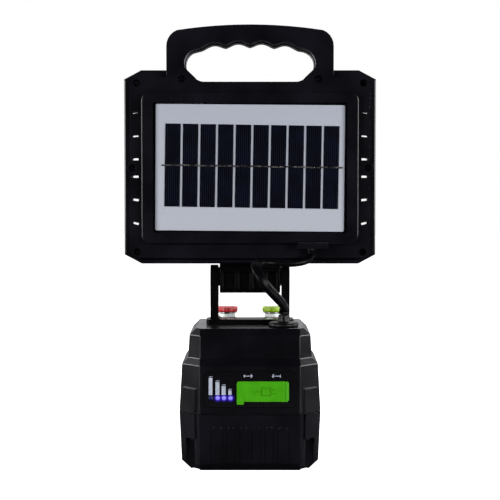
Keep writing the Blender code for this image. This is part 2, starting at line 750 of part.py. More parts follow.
def make_power_button(material, dark):
    """A sprung push button in the rear wall, and the switch behind it."""
    wall_y = BASE_DEPTH / 2 - wall_inset(BUTTON_Z)
    inside = wall_y - WALL - BUTTON_TRAVEL
    profile = (
        (BUTTON_RADIUS + 0.0014, inside - BUTTON_FLANGE),
        (BUTTON_RADIUS + 0.0014, inside),
        (BUTTON_RADIUS - 0.0001, inside),
        (BUTTON_RADIUS - 0.0001, wall_y + BUTTON_PROUD - 0.0008),
        (BUTTON_RADIUS - 0.0012, wall_y + BUTTON_PROUD),
        (BUTTON_RADIUS - 0.0050, wall_y + BUTTON_PROUD - 0.0004),
    )
    origin = place_empty("button_axis", (0, wall_y, BUTTON_Z))
    bm = bmesh.new()
    turned(bm, profile, (0, 0, BUTTON_Z), axis="Y")
    node(bm, "power_button", material, origin)

    front = inside - BUTTON_FLANGE - BUTTON_TRAVEL - GAP
    neck = front - 0.0018
    sections = ((0.0060, front - 0.0060), (0.0060, neck), (0.0020, neck), (0.0020, front))
    rings = []
    for half, y in sections:
        outline = chamfered_rect((2 * half, 2 * half), (half * 0.2, half * 0.2), (0, BUTTON_Z))
        rings.append([(x, y, z) for x, z in outline])
    bm = bmesh.new()
    loft(bm, rings)
    node(bm, "button_switch", dark)


# ---------------------------------------------------------------- terminals
def make_stud(name, x, stud_top, steel):
    """A terminal's stud: a flat head under the roof and a plain shank."""
    head_top = BASE_HEIGHT - WALL - GAP
    levels = (
        (STUD_HEAD, head_top - STUD_HEAD_HIGH),
        (STUD_HEAD, head_top),
        (STUD_RADIUS, head_top),
        (STUD_RADIUS, stud_top),
    )
    bm = bmesh.new()
    loft(bm, [[(px, py, z) for px, py in circle((x, TERMINAL_Y), r, 12)] for r, z in levels])
    node(bm, f"{name}_stud", steel)


def make_knob(name, x, low, high, material, lift):
    """A fluted knob with a blind bore."""
    outline = []
    for i in range(KNOB_FLUTES * 4):
        angle = 2 * pi * i / (KNOB_FLUTES * 4)
        radius = KNOB_RADIUS - (FLUTE_DEPTH if i % 4 == 0 else 0)
        outline.append((x + radius * cos(angle), TERMINAL_Y + radius * sin(angle)))
    shrink = [((px - x) * 0.93 + x, (py - TERMINAL_Y) * 0.93 + TERMINAL_Y) for px, py in outline]
    levels = ((shrink, low), (outline, low + 0.0006), (outline, high - 0.0008), (shrink, high))
    bm = bmesh.new()
    loft(bm, [[(px, py, z) for px, py in ring] for ring, z in levels])
    knob = node(bm, f"{name}_knob", material, lift)
    bm = bmesh.new()
    prism_z(bm, circle((x, TERMINAL_Y), STUD_RADIUS + GAP, 16), low - 0.001, high - KNOB_ROOF)
    cut(knob, bm)


def make_terminal(name, x, knob_material, steel, nylon):
    """One screw terminal: stud, insulating collar, clamp washer and knob."""
    low = BASE_HEIGHT + GAP
    collar_top = low + COLLAR_HIGH
    washer_low = collar_top + GAP
    washer_top = washer_low + WASHER_THICK
    knob_low = washer_top + GAP
    knob_top = knob_low + KNOB_HIGH
    axis = (x, TERMINAL_Y, 0)
    bore = STUD_RADIUS + GAP
    make_stud(name, x, knob_top - KNOB_ROOF - 0.0004, steel)

    section = (
        (bore, low),
        (COLLAR_RADIUS, low),
        (COLLAR_RADIUS, collar_top - 0.0008),
        (COLLAR_RADIUS - 0.0006, collar_top),
        (bore, collar_top),
    )
    bm = bmesh.new()
    turned_ring(bm, section, axis)
    node(bm, f"{name}_collar", nylon)

    lift = place_empty(f"{name}_axis", (x, TERMINAL_Y, washer_low))
    wide = WASHER_RADIUS
    section = ((bore, washer_low), (wide, washer_low), (wide, washer_top), (bore, washer_top))
    bm = bmesh.new()
    turned_ring(bm, section, axis)
    node(bm, f"{name}_washer", steel, lift)
    make_knob(name, x, knob_low, knob_top, knob_material, lift)


# ---------------------------------------------------------------- yoke and hinge
def make_yoke(material):
    inner = YOKE_INNER / 2
    outer = inner + YOKE_ARM
    low = BASE_HEIGHT + GAP
    floor = low + YOKE_PLATE[2]
    radius = YOKE_DEPTH / 2
    high = PIVOT_Z + radius + 0.001
    outline = [(-outer, low), (outer, low), (outer, high), (inner, high)]
    outline += arc((inner - YOKE_FILLET, floor + YOKE_FILLET), YOKE_FILLET, 0, -90, 4)
    outline += arc((-inner + YOKE_FILLET, floor + YOKE_FILLET), YOKE_FILLET, -90, -180, 4)
    outline += [(-inner, high), (-outer, high)]
    bm = bmesh.new()
    prism_y(bm, outline, -radius, radius)
    yoke = node(bm, "yoke_bracket", material)

    profile = [(-radius * 1.2, low - 0.001), (radius * 1.2, low - 0.001), (radius, low + 0.012)]
    profile += arc((0, PIVOT_Z), radius, 0, 180, 16) + [(-radius, low + 0.012)]
    bm = bmesh.new()
    prism_x(bm, profile, -0.06, 0.06)
    boolean(yoke, bm, "INTERSECT")
    bm = bmesh.new()
    prism_z(bm, rounded_rect(YOKE_PLATE[:2], 0.0025), low, floor)
    add(yoke, bm)

    bm = bmesh.new()
    prism_x(bm, circle((0, PIVOT_Z), BOLT_RADIUS + GAP, 16), -0.06, 0.06)
    for x in (-YOKE_SCREW_X, YOKE_SCREW_X):
        countersink = ((0.0020, low - 0.001), (0.0020, floor - 0.0022), (0.0045, floor + 0.0003))
        turned(bm, countersink, (x, 0, 0), steps=16)
    cut(yoke, bm)
    bm = bmesh.new()
    head_in = outer - BOLT_HEAD_THICK - GAP
    prism_x(bm, circle((0, PIVOT_Z), BOLT_HEAD_RADIUS + GAP), -outer - 0.004, -head_in)
    flats = (NUT_FLATS + 2 * GAP) / 2 / cos(pi / 6)
    prism_x(bm, circle((0, PIVOT_Z), flats, 6), head_in, outer + 0.004)
    cut(yoke, bm)


def make_yoke_screws(steel):
    floor = BASE_HEIGHT + GAP + YOKE_PLATE[2]
    profile = ((0.0016, BASE_HEIGHT - 0.0090), (0.0016, floor - 0.0024), (0.0037, floor - 0.0002))
    for number, x in enumerate((-YOKE_SCREW_X, YOKE_SCREW_X), 1):
        bm = bmesh.new()
        turned(bm, profile, (x, 0, 0), steps=16)
        screw = node(bm, f"yoke_screw_{number}", steel)
        bm = bmesh.new()
        prism_z(bm, cross((x, 0), 0.0024, 0.0004), floor - 0.0014, floor + 0.001)
        cut(screw, bm)


def make_pivot(steel):
    """The bolt through both arms of the yoke, with a socket in its head, and its nut."""
    outer = YOKE_INNER / 2 + YOKE_ARM
    head_in = outer - BOLT_HEAD_THICK - GAP
    levels = (
        (0.0036, -outer + 0.0003),
        (BOLT_HEAD_RADIUS, -outer + 0.0012),
        (BOLT_HEAD_RADIUS, -head_in - GAP),
        (BOLT_RADIUS, -head_in - GAP),
        (BOLT_RADIUS, outer - 0.0008),
    )
    bm = bmesh.new()
    turned(bm, levels, (0, 0, PIVOT_Z), axis="X")
    bolt = node(bm, "pivot_bolt", steel)
    bm = bmesh.new()
    prism_x(bm, circle((0, PIVOT_Z), 0.0021, 6), -outer - 0.001, -outer + 0.0016)
    cut(bolt, bm)

    bm = bmesh.new()
    hexagon = circle((0, PIVOT_Z), NUT_FLATS / 2 / cos(pi / 6), 6)
    prism_x(bm, hexagon, head_in + GAP, head_in + GAP + NUT_THICK - 0.0004)
    nut = node(bm, "pivot_nut", steel)
    bm = bmesh.new()
    prism_x(bm, circle((0, PIVOT_Z), BOLT_RADIUS + GAP, 16), head_in - 0.001, outer + 0.001)
    cut(nut, bm)


def make_hinge_block(material, tilt):
    half = HINGE_DEPTH / 2
    low = PIVOT_Z - HINGE_DROP
    high = PIVOT_Z + HINGE_RISE
    corner = 0.0060
    outline = [(half, high), (-half, high)]
    outline += arc((-half + corner, low + corner), corner, 180, 270, 5)
    outline += arc((half - corner, low + corner), corner, 270, 360, 5)
    bm = bmesh.new()
    prism_x(bm, outline, -HINGE_HALF, HINGE_HALF)
    block = node(bm, "hinge_block", material, tilt)

    flange_low = high + NECK_RISE
    neck_x, neck_y = NECK_SIZE[0] / 2, NECK_SIZE[1] / 2
    flange_x, flange_y = FLANGE_SIZE[0] / 2, FLANGE_SIZE[1] / 2
    bm = bmesh.new()
    box(bm, (-neck_x, -neck_y, high - 0.004), (neck_x, neck_y, flange_low + 0.001))
    box(bm, (-flange_x, -flange_y, flange_low), (flange_x, flange_y, flange_low + FLANGE_SIZE[2]))
    add(block, bm)

    pocket_high = PIVOT_Z + HINGE_RISE * 0.35
    pocket_low = low + 0.0030
    bm = bmesh.new()
    for x, width in HINGE_POCKETS:
        middle = (x, (pocket_high + pocket_low) / 2)
        shape = rounded_rect((width, pocket_high - pocket_low), 0.0010, middle, 2)
        prism_y(bm, shape, -half - 0.002, -half + HINGE_POCKET_DEPTH)
    prism_x(bm, circle((0, PIVOT_Z), BOLT_RADIUS + GAP, 16), -0.05, 0.05)
    cut(block, bm)


def make_friction_washers(rubber, tilt):
    bore = BOLT_RADIUS + GAP
    for name, side in (("friction_washer_left", -1), ("friction_washer_right", 1)):
        near = side * (HINGE_HALF + GAP)
        far = side * (HINGE_HALF + GAP + WASHER_GAP)
        section = ((bore, near), (FRICTION_RADIUS, near), (FRICTION_RADIUS, far), (bore, far))
        bm = bmesh.new()
        turned_ring(bm, section, (0, 0, PIVOT_Z), axis="X")
        node(bm, name, rubber, tilt)


# ---------------------------------------------------------------- head outlines
def grip_outer(extra=0.0):
    """The outer line of the carry grip, from its right foot over the crown to its left foot, as (x, z)."""
    half = GRIP_OUTER / 2 + extra
    corner = GRIP_CORNER + extra
    side_z = GRIP_SHOULDER_Z - GRIP_CORNER + 0.0012
    turn = 68  # the corner turns this far before it meets the shallow crown
    corner_arc = arc((half - corner, side_z), corner, 0, turn, 5)
    crown_start = Vector(corner_arc[-1])
    crown_z = GRIP_CROWN_Z + extra
    rise = crown_z - crown_start.y
    radius = (crown_start.x**2 + rise**2) / (2 * rise)
    sweep = atan(crown_start.x / (radius - rise)) * 180 / pi
    crown = arc((0, crown_z - radius), radius, 90 - sweep, 90 + sweep, 12)
    right = corner_arc + crown[1:6]
    left = [(-x, z) for x, z in right[::-1]]
    return right + [crown[6]] + left


def grip_opening(extra=0.0, finger_steps=8):
    """The hand opening, as (x, z): a flat floor, slanted lower corners, and four finger scallops above."""
    half = OPENING_HALF - extra
    low = OPENING_LOW_Z + extra
    low_half = OPENING_LOW_HALF - extra * 0.5
    points = arc((low_half - 0.004, low + 0.010), 0.010, -90, -34, 4)
    points += arc((half - 0.0115, OPENING_WIDE_Z), 0.0115, -18, 76, 6)
    span = FINGERS * FINGER_PITCH
    count = FINGERS * finger_steps
    for i in range(count + 1):
        t = 1 - i / count
        x = (t - 0.5) * span
        ridge = OPENING_TOP_Z - extra + FINGER_CROWN * (1 - (2 * t - 1) ** 2)
        phase = (t * FINGERS) % 1
        points.append((x, ridge + FINGER_DEPTH * abs(sin(pi * phase)) ** 1.4))
    left = [(-x, z) for x, z in points[:11]]
    return points + left[::-1]


def cover_outline(extra=0.0):
    """The rear cover and its half of the grip, as one line, grown by extra."""
    size = (COVER_OUTLINE[0] + 2 * extra, COVER_OUTLINE[1] + 2 * extra)
    body = rounded_rect(size, COVER_ROUND + extra, (0, COVER_Z))
    right_top = body[:5]
    left_top = body[5:10]
    lower = body[10:]
    grip = grip_outer(extra)
    foot_z = COVER_Z + size[1] / 2
    half = GRIP_OUTER / 2 + extra
    fillet = 0.0020
    right_foot = arc((half + fillet, foot_z + fillet), fillet, 270, 180, 3)
    left_foot = arc((-half - fillet, foot_z + fillet), fillet, 0, -90, 3)
    return right_top + right_foot + grip + left_foot + left_top + lower


def screw_places():
    return [(sign * x, z) for x, z in COVER_SCREWS for sign in (-1, 1)]


def body_screws():
    """The screws that are in the housing itself, not in the grip's feet."""
    return [(x, z) for x, z in screw_places() if abs(x) > GRIP_OUTER / 2]


def lobe_places():
    """The two screws on the middle of the sides, which stand in round lobes."""
    return [(x, z) for x, z in body_screws() if z == COVER_SCREWS[2][1]]


def vent(bm, centre, size, turn, near, far):
    outline = []
    for sx, sz in ((-1, -1), (1, -1), (1, 1), (-1, 1)):
        x, z = sx * size[0] / 2, sz * size[1] / 2
        across = centre[0] + x * cos(turn) - z * sin(turn)
        up = centre[1] + x * sin(turn) + z * cos(turn)
        outline.append((across, up))
    prism_y(bm, outline, near, far)


def vents(bm, x, size, near, far):
    """Six slots on each side, fanned towards the middle."""
    for side in (-1, 1):
        for z, turn in zip(VENT_ZS, VENT_TURNS):
            for up in (-1, 1):
                vent(bm, (side * x, COVER_Z + up * z), size, -side * up * turn, near, far)


# ---------------------------------------------------------------- head shells
def add_cover_posts(cover, inner_y, seam):
    """Bosses for the housing screws, and four posts that hold the lamp's heat plate."""
    bm = bmesh.new()
    for x, z in body_screws():
        prism_y(bm, circle((x, z), POST_RADIUS, 16), inner_y - 0.001, seam)
    post_end = HEAT_PLATE_Y[0] - HEAT_FIN_HIGH - GAP
    for sx, sz in FOUR_CORNERS:
        centre = (sx * HEAT_POST[0], COVER_Z + sz * HEAT_POST[1])
        prism_y(bm, circle(centre, HEAT_POST_RADIUS, 12), inner_y - 0.001, post_end)
    add(cover, bm)


def cut_cover_screws(cover, seam):
    """Stepped holes for the screws' heads and shanks, and the gland's socket in the hood."""
    head_floor = FACE_Y + SCREW_RECESS + SCREW_HEAD_HIGH + GAP
    wide, narrow = SCREW_HEAD_RADIUS + GAP, PILOT_RADIUS + GAP
    steps = ((wide, FACE_Y - 0.002), (wide, head_floor), (narrow, head_floor), (narrow, seam + 0.002))
    bm = bmesh.new()
    for place in screw_places():
        loft(bm, [[(px, y, pz) for px, pz in circle(place, radius, 16)] for radius, y in steps])
    prism_z(bm, circle((GLAND_X, GLAND_Y), GLAND_RADIUS + GAP, 16), HOOD_Z[0] - 0.001, HOOD_Z[0] + 0.0036)
    cut(cover, bm)


def make_rear_cover(material, tilt):
    seam = SEAM_Y - GAP / 2
    pocket_floor = FACE_Y - BEZEL_PROUD + PANEL_POCKET
    inner_y = pocket_floor + HEAD_WALL
    bm = bmesh.new()
    prism_y(bm, cover_outline(), FACE_Y, seam)
    cover = node(bm, "head_rear_cover", material, tilt)

    bm = bmesh.new()
    bezel = rounded_rect(BEZEL_SIZE, BEZEL_ROUND, (0, COVER_Z))
    prism_y(bm, bezel, FACE_Y - BEZEL_PROUD, FACE_Y + 0.001)
    add(cover, bm)
    bm = bmesh.new()
    for place in lobe_places():
        prism_y(bm, circle(place, LOBE_RADIUS), FACE_Y, seam)
    add(cover, bm)
    bm = bmesh.new()
    low, high = HOOD_Z
    hood = [(HOOD_Y, low), (HOOD_Y, high - HOOD_SLOPE), (HOOD_Y + HOOD_SLOPE, high)]
    hood += [(FACE_Y + 0.001, high), (FACE_Y + 0.001, low)]
    prism_x(bm, hood, *HOOD_X)
    add(cover, bm)

    bm = bmesh.new()
    inside = (COVER_OUTLINE[0] - 2 * HEAD_WALL, 2 * (OPENING_LOW_Z - HEAD_WALL - COVER_Z))
    prism_y(bm, rounded_rect(inside, COVER_ROUND - HEAD_WALL, (0, COVER_Z)), inner_y, seam + 0.002)
    cut(cover, bm)
    add_cover_posts(cover, inner_y, seam)

    bm = bmesh.new()
    opening = rounded_rect(PANEL_OPENING, 0.0010, (0, COVER_Z), 2)
    prism_y(bm, opening, FACE_Y - BEZEL_PROUD - 0.002, pocket_floor)
    vents(bm, VENT_X, VENT_SIZE, FACE_Y - 0.002, seam + 0.002)
    cut(cover, bm)
    bm = bmesh.new()
    prism_y(bm, grip_opening(), FACE_Y - 0.005, seam + 0.002)
    cut(cover, bm)
    cut_cover_screws(cover, seam)


def housing_ring(y, inset):
    """The housing's outline at depth y, drawn in by inset."""
    shape = (HEAD_SIZE[0] - 2 * inset, HEAD_SIZE[1] - 2 * inset)
    return [(x, y, z) for x, z in chamfered_rect(shape, HEAD_CHAMFER, (0, HEAD_Z))]


def cut_cover_seat(shell, seam):
    """The shallow seat that the rear cover and its grip half drop into."""
    bm = bmesh.new()
    prism_y(bm, cover_outline(GAP), RIM_Y - 0.01, seam)
    for place in lobe_places():
        prism_y(bm, circle(place, LOBE_RADIUS + GAP, 20), RIM_Y - 0.005, seam - 0.0001)
    cut(shell, bm)


def cut_housing_inside(shell, seam, slope_y):
    """The cavity, stepped in behind the ledge that the cover rests on."""
    sections = (
        (seam - 0.002, HEAD_LEDGE),
        (seam + 0.003, HEAD_LEDGE),
        (seam + 0.007, HEAD_WALL),
        (slope_y - 0.001, HEAD_DRAFT + HEAD_WALL),
        (HEAD_FAR_Y - 0.0030, HEAD_SLOPE + 0.0004),
    )
    bm = bmesh.new()
    loft(bm, [housing_ring(y, inset) for y, inset in sections])
    cut(shell, bm)


def add_housing_blocks(shell, seam, slope_y):
    """Screw posts, and the solid block under the hand opening."""
    bm = bmesh.new()
    for x, z in body_screws():
        prism_y(bm, circle((x, z), POST_RADIUS, 16), seam, seam + 0.010)
    add(shell, bm)
    low = OPENING_LOW_Z - HEAD_WALL
    half = OPENING_HALF + HEAD_WALL
    rings = []
    for y, inset in ((seam, 0.0), (slope_y, HEAD_DRAFT), (HEAD_FAR_Y - 0.0010, HEAD_SLOPE - 0.0010)):
        roof = HEAD_Z + HEAD_SIZE[1] / 2 - inset - 0.0010
        rings.append([(-half, y, low), (half, y, low), (half, y, roof), (-half, y, roof)])
    bm = bmesh.new()
    loft(bm, rings)
    add(shell, bm)


def cut_housing_openings(shell, seam):
    """The lamp's window, the vents, the hand opening, the neck's slot and the screw pilots."""
    bm = bmesh.new()
    prism_y(bm, rounded_rect(APERTURE, 0.004, (0, HEAD_Z)), HEAD_FAR_Y - 0.006, HEAD_FAR_Y - 0.0010)
    rebate = rounded_rect(LENS_REBATE, 0.006, (0, HEAD_Z))
    prism_y(bm, rebate, HEAD_FAR_Y - REBATE_DEPTH, HEAD_FAR_Y + 0.002)
    cut(shell, bm)

    bm = bmesh.new()
    vents(bm, FAR_VENT_X, FAR_VENT_SIZE, seam - 0.001, HEAD_FAR_Y + 0.002)
    prism_y(bm, grip_opening(0.0006), RIM_Y - 0.005, GRIP_FAR_Y + 0.025)
    low = HEAD_Z - HEAD_SIZE[1] / 2
    half_x, half_y = NECK_SIZE[0] / 2 + NECK_SLACK, NECK_SIZE[1] / 2 + NECK_SLACK
    box(bm, (-half_x, -half_y, low - 0.002), (half_x, half_y, low + 0.006))
    cut(shell, bm)

    bm = bmesh.new()
    pilot_end = FACE_Y + SCREW_RECESS + SCREW_LENGTH + 0.001
    for place in screw_places():
        prism_y(bm, circle(place, PILOT_RADIUS + GAP, 12), seam - 0.001, pilot_end)
    cut(shell, bm)


def make_front_shell(material, tilt):
    seam = SEAM_Y + GAP / 2
    slope_y = HEAD_FAR_Y - 0.0085
    sections = (
        (RIM_Y, 0.0010),
        (RIM_Y + 0.0010, 0),
        (slope_y, HEAD_DRAFT),
        (HEAD_FAR_Y, HEAD_SLOPE),
    )
    bm = bmesh.new()
    loft(bm, [housing_ring(y, inset) for y, inset in sections])
    shell = node(bm, "head_front_shell", material, tilt)

    foot_z = HEAD_Z + HEAD_SIZE[1] / 2 - 0.006
    grip = [(GRIP_OUTER / 2, foot_z)] + grip_outer() + [(-GRIP_OUTER / 2, foot_z)]
    bm = bmesh.new()
    prism_y(bm, grip, RIM_Y + 0.002, GRIP_FAR_Y)
    add(shell, bm)
    cut_cover_seat(shell, seam)
    cut_housing_inside(shell, seam, slope_y)
    add_housing_blocks(shell, seam, slope_y)
    cut_housing_openings(shell, seam)


def make_head_screws(material, tilt):
    """Pan-head screws with a cross recess, sunk below the cover's face."""
    head_low = FACE_Y + SCREW_RECESS
    tip = head_low + SCREW_LENGTH
    radius = SCREW_HEAD_RADIUS
    profile = (
        (radius * 0.7, head_low),
        (radius, head_low + 0.0006),
        (radius, head_low + 0.0020),
        (PILOT_RADIUS, head_low + 0.0020),
        (PILOT_RADIUS, tip - 0.0015),
        (0.0004, tip),
    )
    for number, (x, z) in enumerate(screw_places(), 1):
        bm = bmesh.new()
        turned(bm, profile, (x, 0, z), axis="Y", steps=12)
        screw = node(bm, f"head_screw_{number}", material, tilt)
        bm = bmesh.new()
        prism_y(bm, cross((x, z), radius * 0.62, 0.00035), head_low - 0.001, head_low + 0.0011)
        cut(screw, bm)


# ---------------------------------------------------------------- solar panel
def turned_points(points, angle):
    """(x, z) points turned clockwise about the panel's middle, as the user sees it."""
    middle = Vector((0, COVER_Z))
    turn = Matrix.Rotation(-angle, 2)
    return [tuple(turn @ (Vector(p) - middle) + middle) for p in points]


def make_solar_cells(material, cell_y, tilt):
    """The ribbon and the strips that it joins, all turned a little on the backing."""

    def strip(width, height, x):
        half_w, half_h = width / 2, height / 2
        signs = ((-1, -1), (1, -1), (1, 1), (-1, 1))
        shape = [(x + sx * half_w, COVER_Z + sz * half_h) for sx, sz in signs]
        return turned_points(shape, PANEL_TURN + CELL_TURN)

    bm = bmesh.new()
    prism_y(bm, strip(*RIBBON, 0), cell_y, cell_y + CELL_THICK * 0.8)
    string = node(bm, "solar_cell_string", material, tilt)
    bm = bmesh.new()
    for i in range(CELL_COUNT):
        x = (i - (CELL_COUNT - 1) / 2) * CELL_PITCH + CELL_SHIFT
        prism_y(bm, strip(*CELL_SIZE, x), cell_y + CELL_THICK * 0.2, cell_y + CELL_THICK)
    add(string, bm)


def make_solar_panel(white, cells_material, clear, rubber, tilt):
    floor = FACE_Y - BEZEL_PROUD + PANEL_POCKET
    seal_y = floor - GAP - SEAL_RING
    backing_y = seal_y - GAP - BACKING_THICK
    cell_y = backing_y - GAP - CELL_THICK
    sheet_y = cell_y - GAP - SHEET_THICK

    outer = rounded_rect((PANEL_SIZE[0] - 0.002, PANEL_SIZE[1] - 0.002), 0.001, (0, COVER_Z), 2)
    inner = rounded_rect((PANEL_SIZE[0] - 0.014, PANEL_SIZE[1] - 0.014), 0.001, (0, COVER_Z), 2)
    sections = ((outer, seal_y), (outer, seal_y + SEAL_RING), (inner, seal_y + SEAL_RING), (inner, seal_y))
    bm = bmesh.new()
    loft(bm, [[(x, y, z) for x, z in ring] for ring, y in sections], closed_tube=True)
    node(bm, "panel_seal", rubber, tilt)

    plate = turned_points(rounded_rect(PANEL_SIZE, 0.0008, (0, COVER_Z), 2), PANEL_TURN)
    bm = bmesh.new()
    prism_y(bm, plate, backing_y, backing_y + BACKING_THICK)
    node(bm, "solar_backing", white, tilt)
    make_solar_cells(cells_material, cell_y, tilt)
    bm = bmesh.new()
    prism_y(bm, plate, sheet_y, sheet_y + SHEET_THICK)
    node(bm, "solar_cover_sheet", clear, tilt)


# ---------------------------------------------------------------- lamp
def make_reflector(silver, tilt):
    """A sloping mirrored funnel from the lamp board to the window."""
    wide = (APERTURE[0] + 0.004, APERTURE[1] + 0.004)
    narrow = (APERTURE[0] - 0.010, APERTURE[1] - 0.010)
    near = LED_BOARD_Y[1] + GAP
    far = HEAD_FAR_Y - 0.0030 - GAP
    shrink = 2 * REFLECTOR_WALL
    rings = []
    for shape, less, y in ((wide, 0, far), (wide, shrink, far), (narrow, shrink, near), (narrow, 0, near)):
        outline = rounded_rect((shape[0] - less, shape[1] - less), 0.004, (0, HEAD_Z), 3)
        rings.append([(x, y, z) for x, z in outline])
    bm = bmesh.new()
    loft(bm, rings, closed_tube=True)
    node(bm, "lamp_reflector", silver, tilt)


def make_lamp(clear, board, metal, tilt):
    lens_y = HEAD_FAR_Y - REBATE_DEPTH + GAP
    size = (LENS_REBATE[0] - 2 * GAP, LENS_REBATE[1] - 2 * GAP)
    bm = bmesh.new()
    prism_y(bm, rounded_rect(size, 0.006, (0, HEAD_Z)), lens_y, lens_y + LENS_THICK)
    node(bm, "lamp_lens", clear, tilt)

    bm = bmesh.new()
    prism_y(bm, rounded_rect((0.148, 0.098), 0.003, (0, HEAD_Z), 2), *LED_BOARD_Y)
    node(bm, "led_board", board, tilt)

    bm = bmesh.new()
    prism_y(bm, rounded_rect((0.152, 0.100), 0.003, (0, HEAD_Z), 2), *HEAT_PLATE_Y)
    plate = node(bm, "heat_plate", metal, tilt)
    bm = bmesh.new()
    near, far = HEAT_PLATE_Y[0] - HEAT_FIN_HIGH, HEAT_PLATE_Y[0] + 0.001
    for i in range(HEAT_FINS):
        z = HEAD_Z + (i - (HEAT_FINS - 1) / 2) * HEAT_FIN_PITCH
        box(bm, (-0.070, near, z - 0.0008), (0.070, far, z + 0.0008))
    add(plate, bm)


# ---------------------------------------------------------------- lead
def smooth_route(points, step):
    """Points a step apart on a smooth curve through the route's own points."""
    nodes = [Vector(p) for p in points]
    ends = [2 * nodes[0] - nodes[1], *nodes, 2 * nodes[-1] - nodes[-2]]
    fine = []
    for a, b, c, d in zip(ends, ends[1:], ends[2:], ends[3:]):
        for i in range(20):
            t = i / 20
            squared = 2 * a - 5 * b + 4 * c - d
            cubed = 3 * b - a - 3 * c + d
            fine.append(0.5 * (2 * b + (c - a) * t + squared * t**2 + cubed * t**3))
    fine.append(nodes[-1])
    length = sum((b - a).length for a, b in zip(fine, fine[1:]))
    count = round(length / step)
    spaced, travelled, target = [fine[0]], 0.0, length / count
    for a, b in zip(fine, fine[1:]):
        span = (b - a).length
        while travelled + span >= target and len(spaced) < count:
            spaced.append(a.lerp(b, (target - travelled) / span))
            target += length / count
        travelled += span
    return spaced + [fine[-1]]


def make_lead(material):
    points = smooth_route(LEAD_ROUTE, LEAD_RADIUS)
    curve = bpy.data.curves.new("lead_cable", "CURVE")
    curve.dimensions = "3D"
    spline = curve.splines.new("POLY")
    spline.points.add(len(points) - 1)
    for point, place in zip(spline.points, points):
        point.co = (*place, 1)
    curve.bevel_depth = LEAD_RADIUS
    curve.bevel_resolution = 3
    curve.use_fill_caps = True
    curve.materials.append(material)
    lead = bpy.data.objects.new("lead_cable", curve)
    bpy.context.scene.collection.objects.link(lead)


def make_grommet(rubber):
    """A rubber collar on the roof, with a stem through it and a boot up the lead."""
    low = BASE_HEIGHT + GAP
    top = low + GROMMET_THICK
    stem = BASE_HEIGHT - WALL - 0.003
    profile = (
        (BOOT_RADIUS - 0.0003, stem),
        (BOOT_RADIUS - 0.0003, low),
        (GROMMET_RADIUS - 0.0006, low),
        (GROMMET_RADIUS, low + 0.0007),
        (GROMMET_RADIUS, top - 0.0010),
        (GROMMET_RADIUS - 0.0012, top),
        (BOOT_RADIUS + 0.0004, top + 0.0003),
        (BOOT_RADIUS, top + 0.0010),
        (BOOT_RADIUS - 0.0004, BOOT_TOP_Z),
    )
    bm = bmesh.new()
    turned(bm, profile, (GROMMET_X, GROMMET_Y, 0))
    node(bm, "cable_grommet", rubber)


def make_gland(rubber, tilt):
    low, high = HOOD_Z[0] - GLAND_PROUD, HOOD_Z[0] + 0.0032
    profile = ((GLAND_RADIUS - 0.0003, low), (GLAND_RADIUS, low + 0.0006), (GLAND_RADIUS, high))
    bm = bmesh.new()
    turned(bm, profile, (GLAND_X, GLAND_Y, 0), steps=20)
    node(bm, "cable_gland", rubber, tilt)


# ---------------------------------------------------------------- electronics in the base
def make_battery_cells(material):
    half = CELL_LENGTH / 2
    radius = CELL_RADIUS - GAP / 2
    profile = (
        (radius - 0.0005, -half),
        (radius, -half + 0.0005),
        (radius, half - 0.0012),
        (radius - 0.0010, half - 0.0004),
        (0.0030, half - 0.0004),
        (0.0030, half + 0.0006),
    )
    for number, y in enumerate(CELL_YS, 1):
        bm = bmesh.new()
        turned(bm, profile, (0, y, WALL + 2 * GAP + CELL_RADIUS), axis="X")
        node(bm, f"battery_cell_{number}", material)


def make_transformer(ferrite, copper):
    """A core with two windows, and a coil round its middle leg."""
    x0, y0 = CORE_MIDDLE
    low = WALL + GAP
    width, depth, height = CORE_SIZE
    window_w, window_h = CORE_WINDOW
    bm = bmesh.new()
    box(bm, (x0 - width / 2, y0 - depth / 2, low), (x0 + width / 2, y0 + depth / 2, low + height))
    core = node(bm, "transformer_core", ferrite)
    mid_z = low + height / 2
    z_low, z_high = mid_z - window_h / 2, mid_z + window_h / 2
    bm = bmesh.new()
    for side in (-1, 1):
        x = x0 + side * (CORE_LEG + window_w) / 2
        box(bm, (x - window_w / 2, y0 - depth, z_low), (x + window_w / 2, y0 + depth, z_high))
    cut(core, bm)

    inner = (CORE_LEG + 2 * GAP, depth + 2 * GAP)
    outer = (CORE_LEG + 2 * window_w - 2 * GAP - 0.0004, depth + 2 * COIL_PROUD)
    ring_in = rounded_rect(inner, 0.0006, (x0, y0), 3)
    ring_out = rounded_rect(outer, 0.0035, (x0, y0), 3)
    near, far = z_low + GAP, z_high - GAP
    levels = ((ring_in, near), (ring_out, near), (ring_out, far), (ring_in, far))
    bm = bmesh.new()
    loft(bm, [[(x, y, z) for x, y in ring] for ring, z in levels], closed_tube=True)
    node(bm, "transformer_coil", copper)


def make_capacitor(film):
    low = WALL + GAP
    width, depth, height = CAPACITOR_SIZE
    bm = bmesh.new()
    prism_z(bm, rounded_rect((width, depth), 0.0012, CAPACITOR_MIDDLE, 2), low, low + height)
    node(bm, "pulse_capacitor", film)


def make_control_board(material, face):
    """The board, with two chips and a standing capacitor."""
    width, height, thick = BOARD_SIZE
    back = BOARD_BACK + thick
    seat = back - 0.0004
    bm = bmesh.new()
    box(bm, (-width / 2, BOARD_BACK, -height / 2), (width / 2, back, height / 2))
    board = node(bm, "control_board", material, face, local=True)
    bm = bmesh.new()
    box(bm, (-0.030, seat, -0.008), (-0.016, back + 0.0024, 0.006))
    box(bm, (-0.006, seat, -0.004), (0.004, back + 0.0040, 0.010))
    prism_y(bm, circle((0.018, 0.002), 0.0050, 16), seat, back + 0.0110)
    add(board, bm, face, local=True)


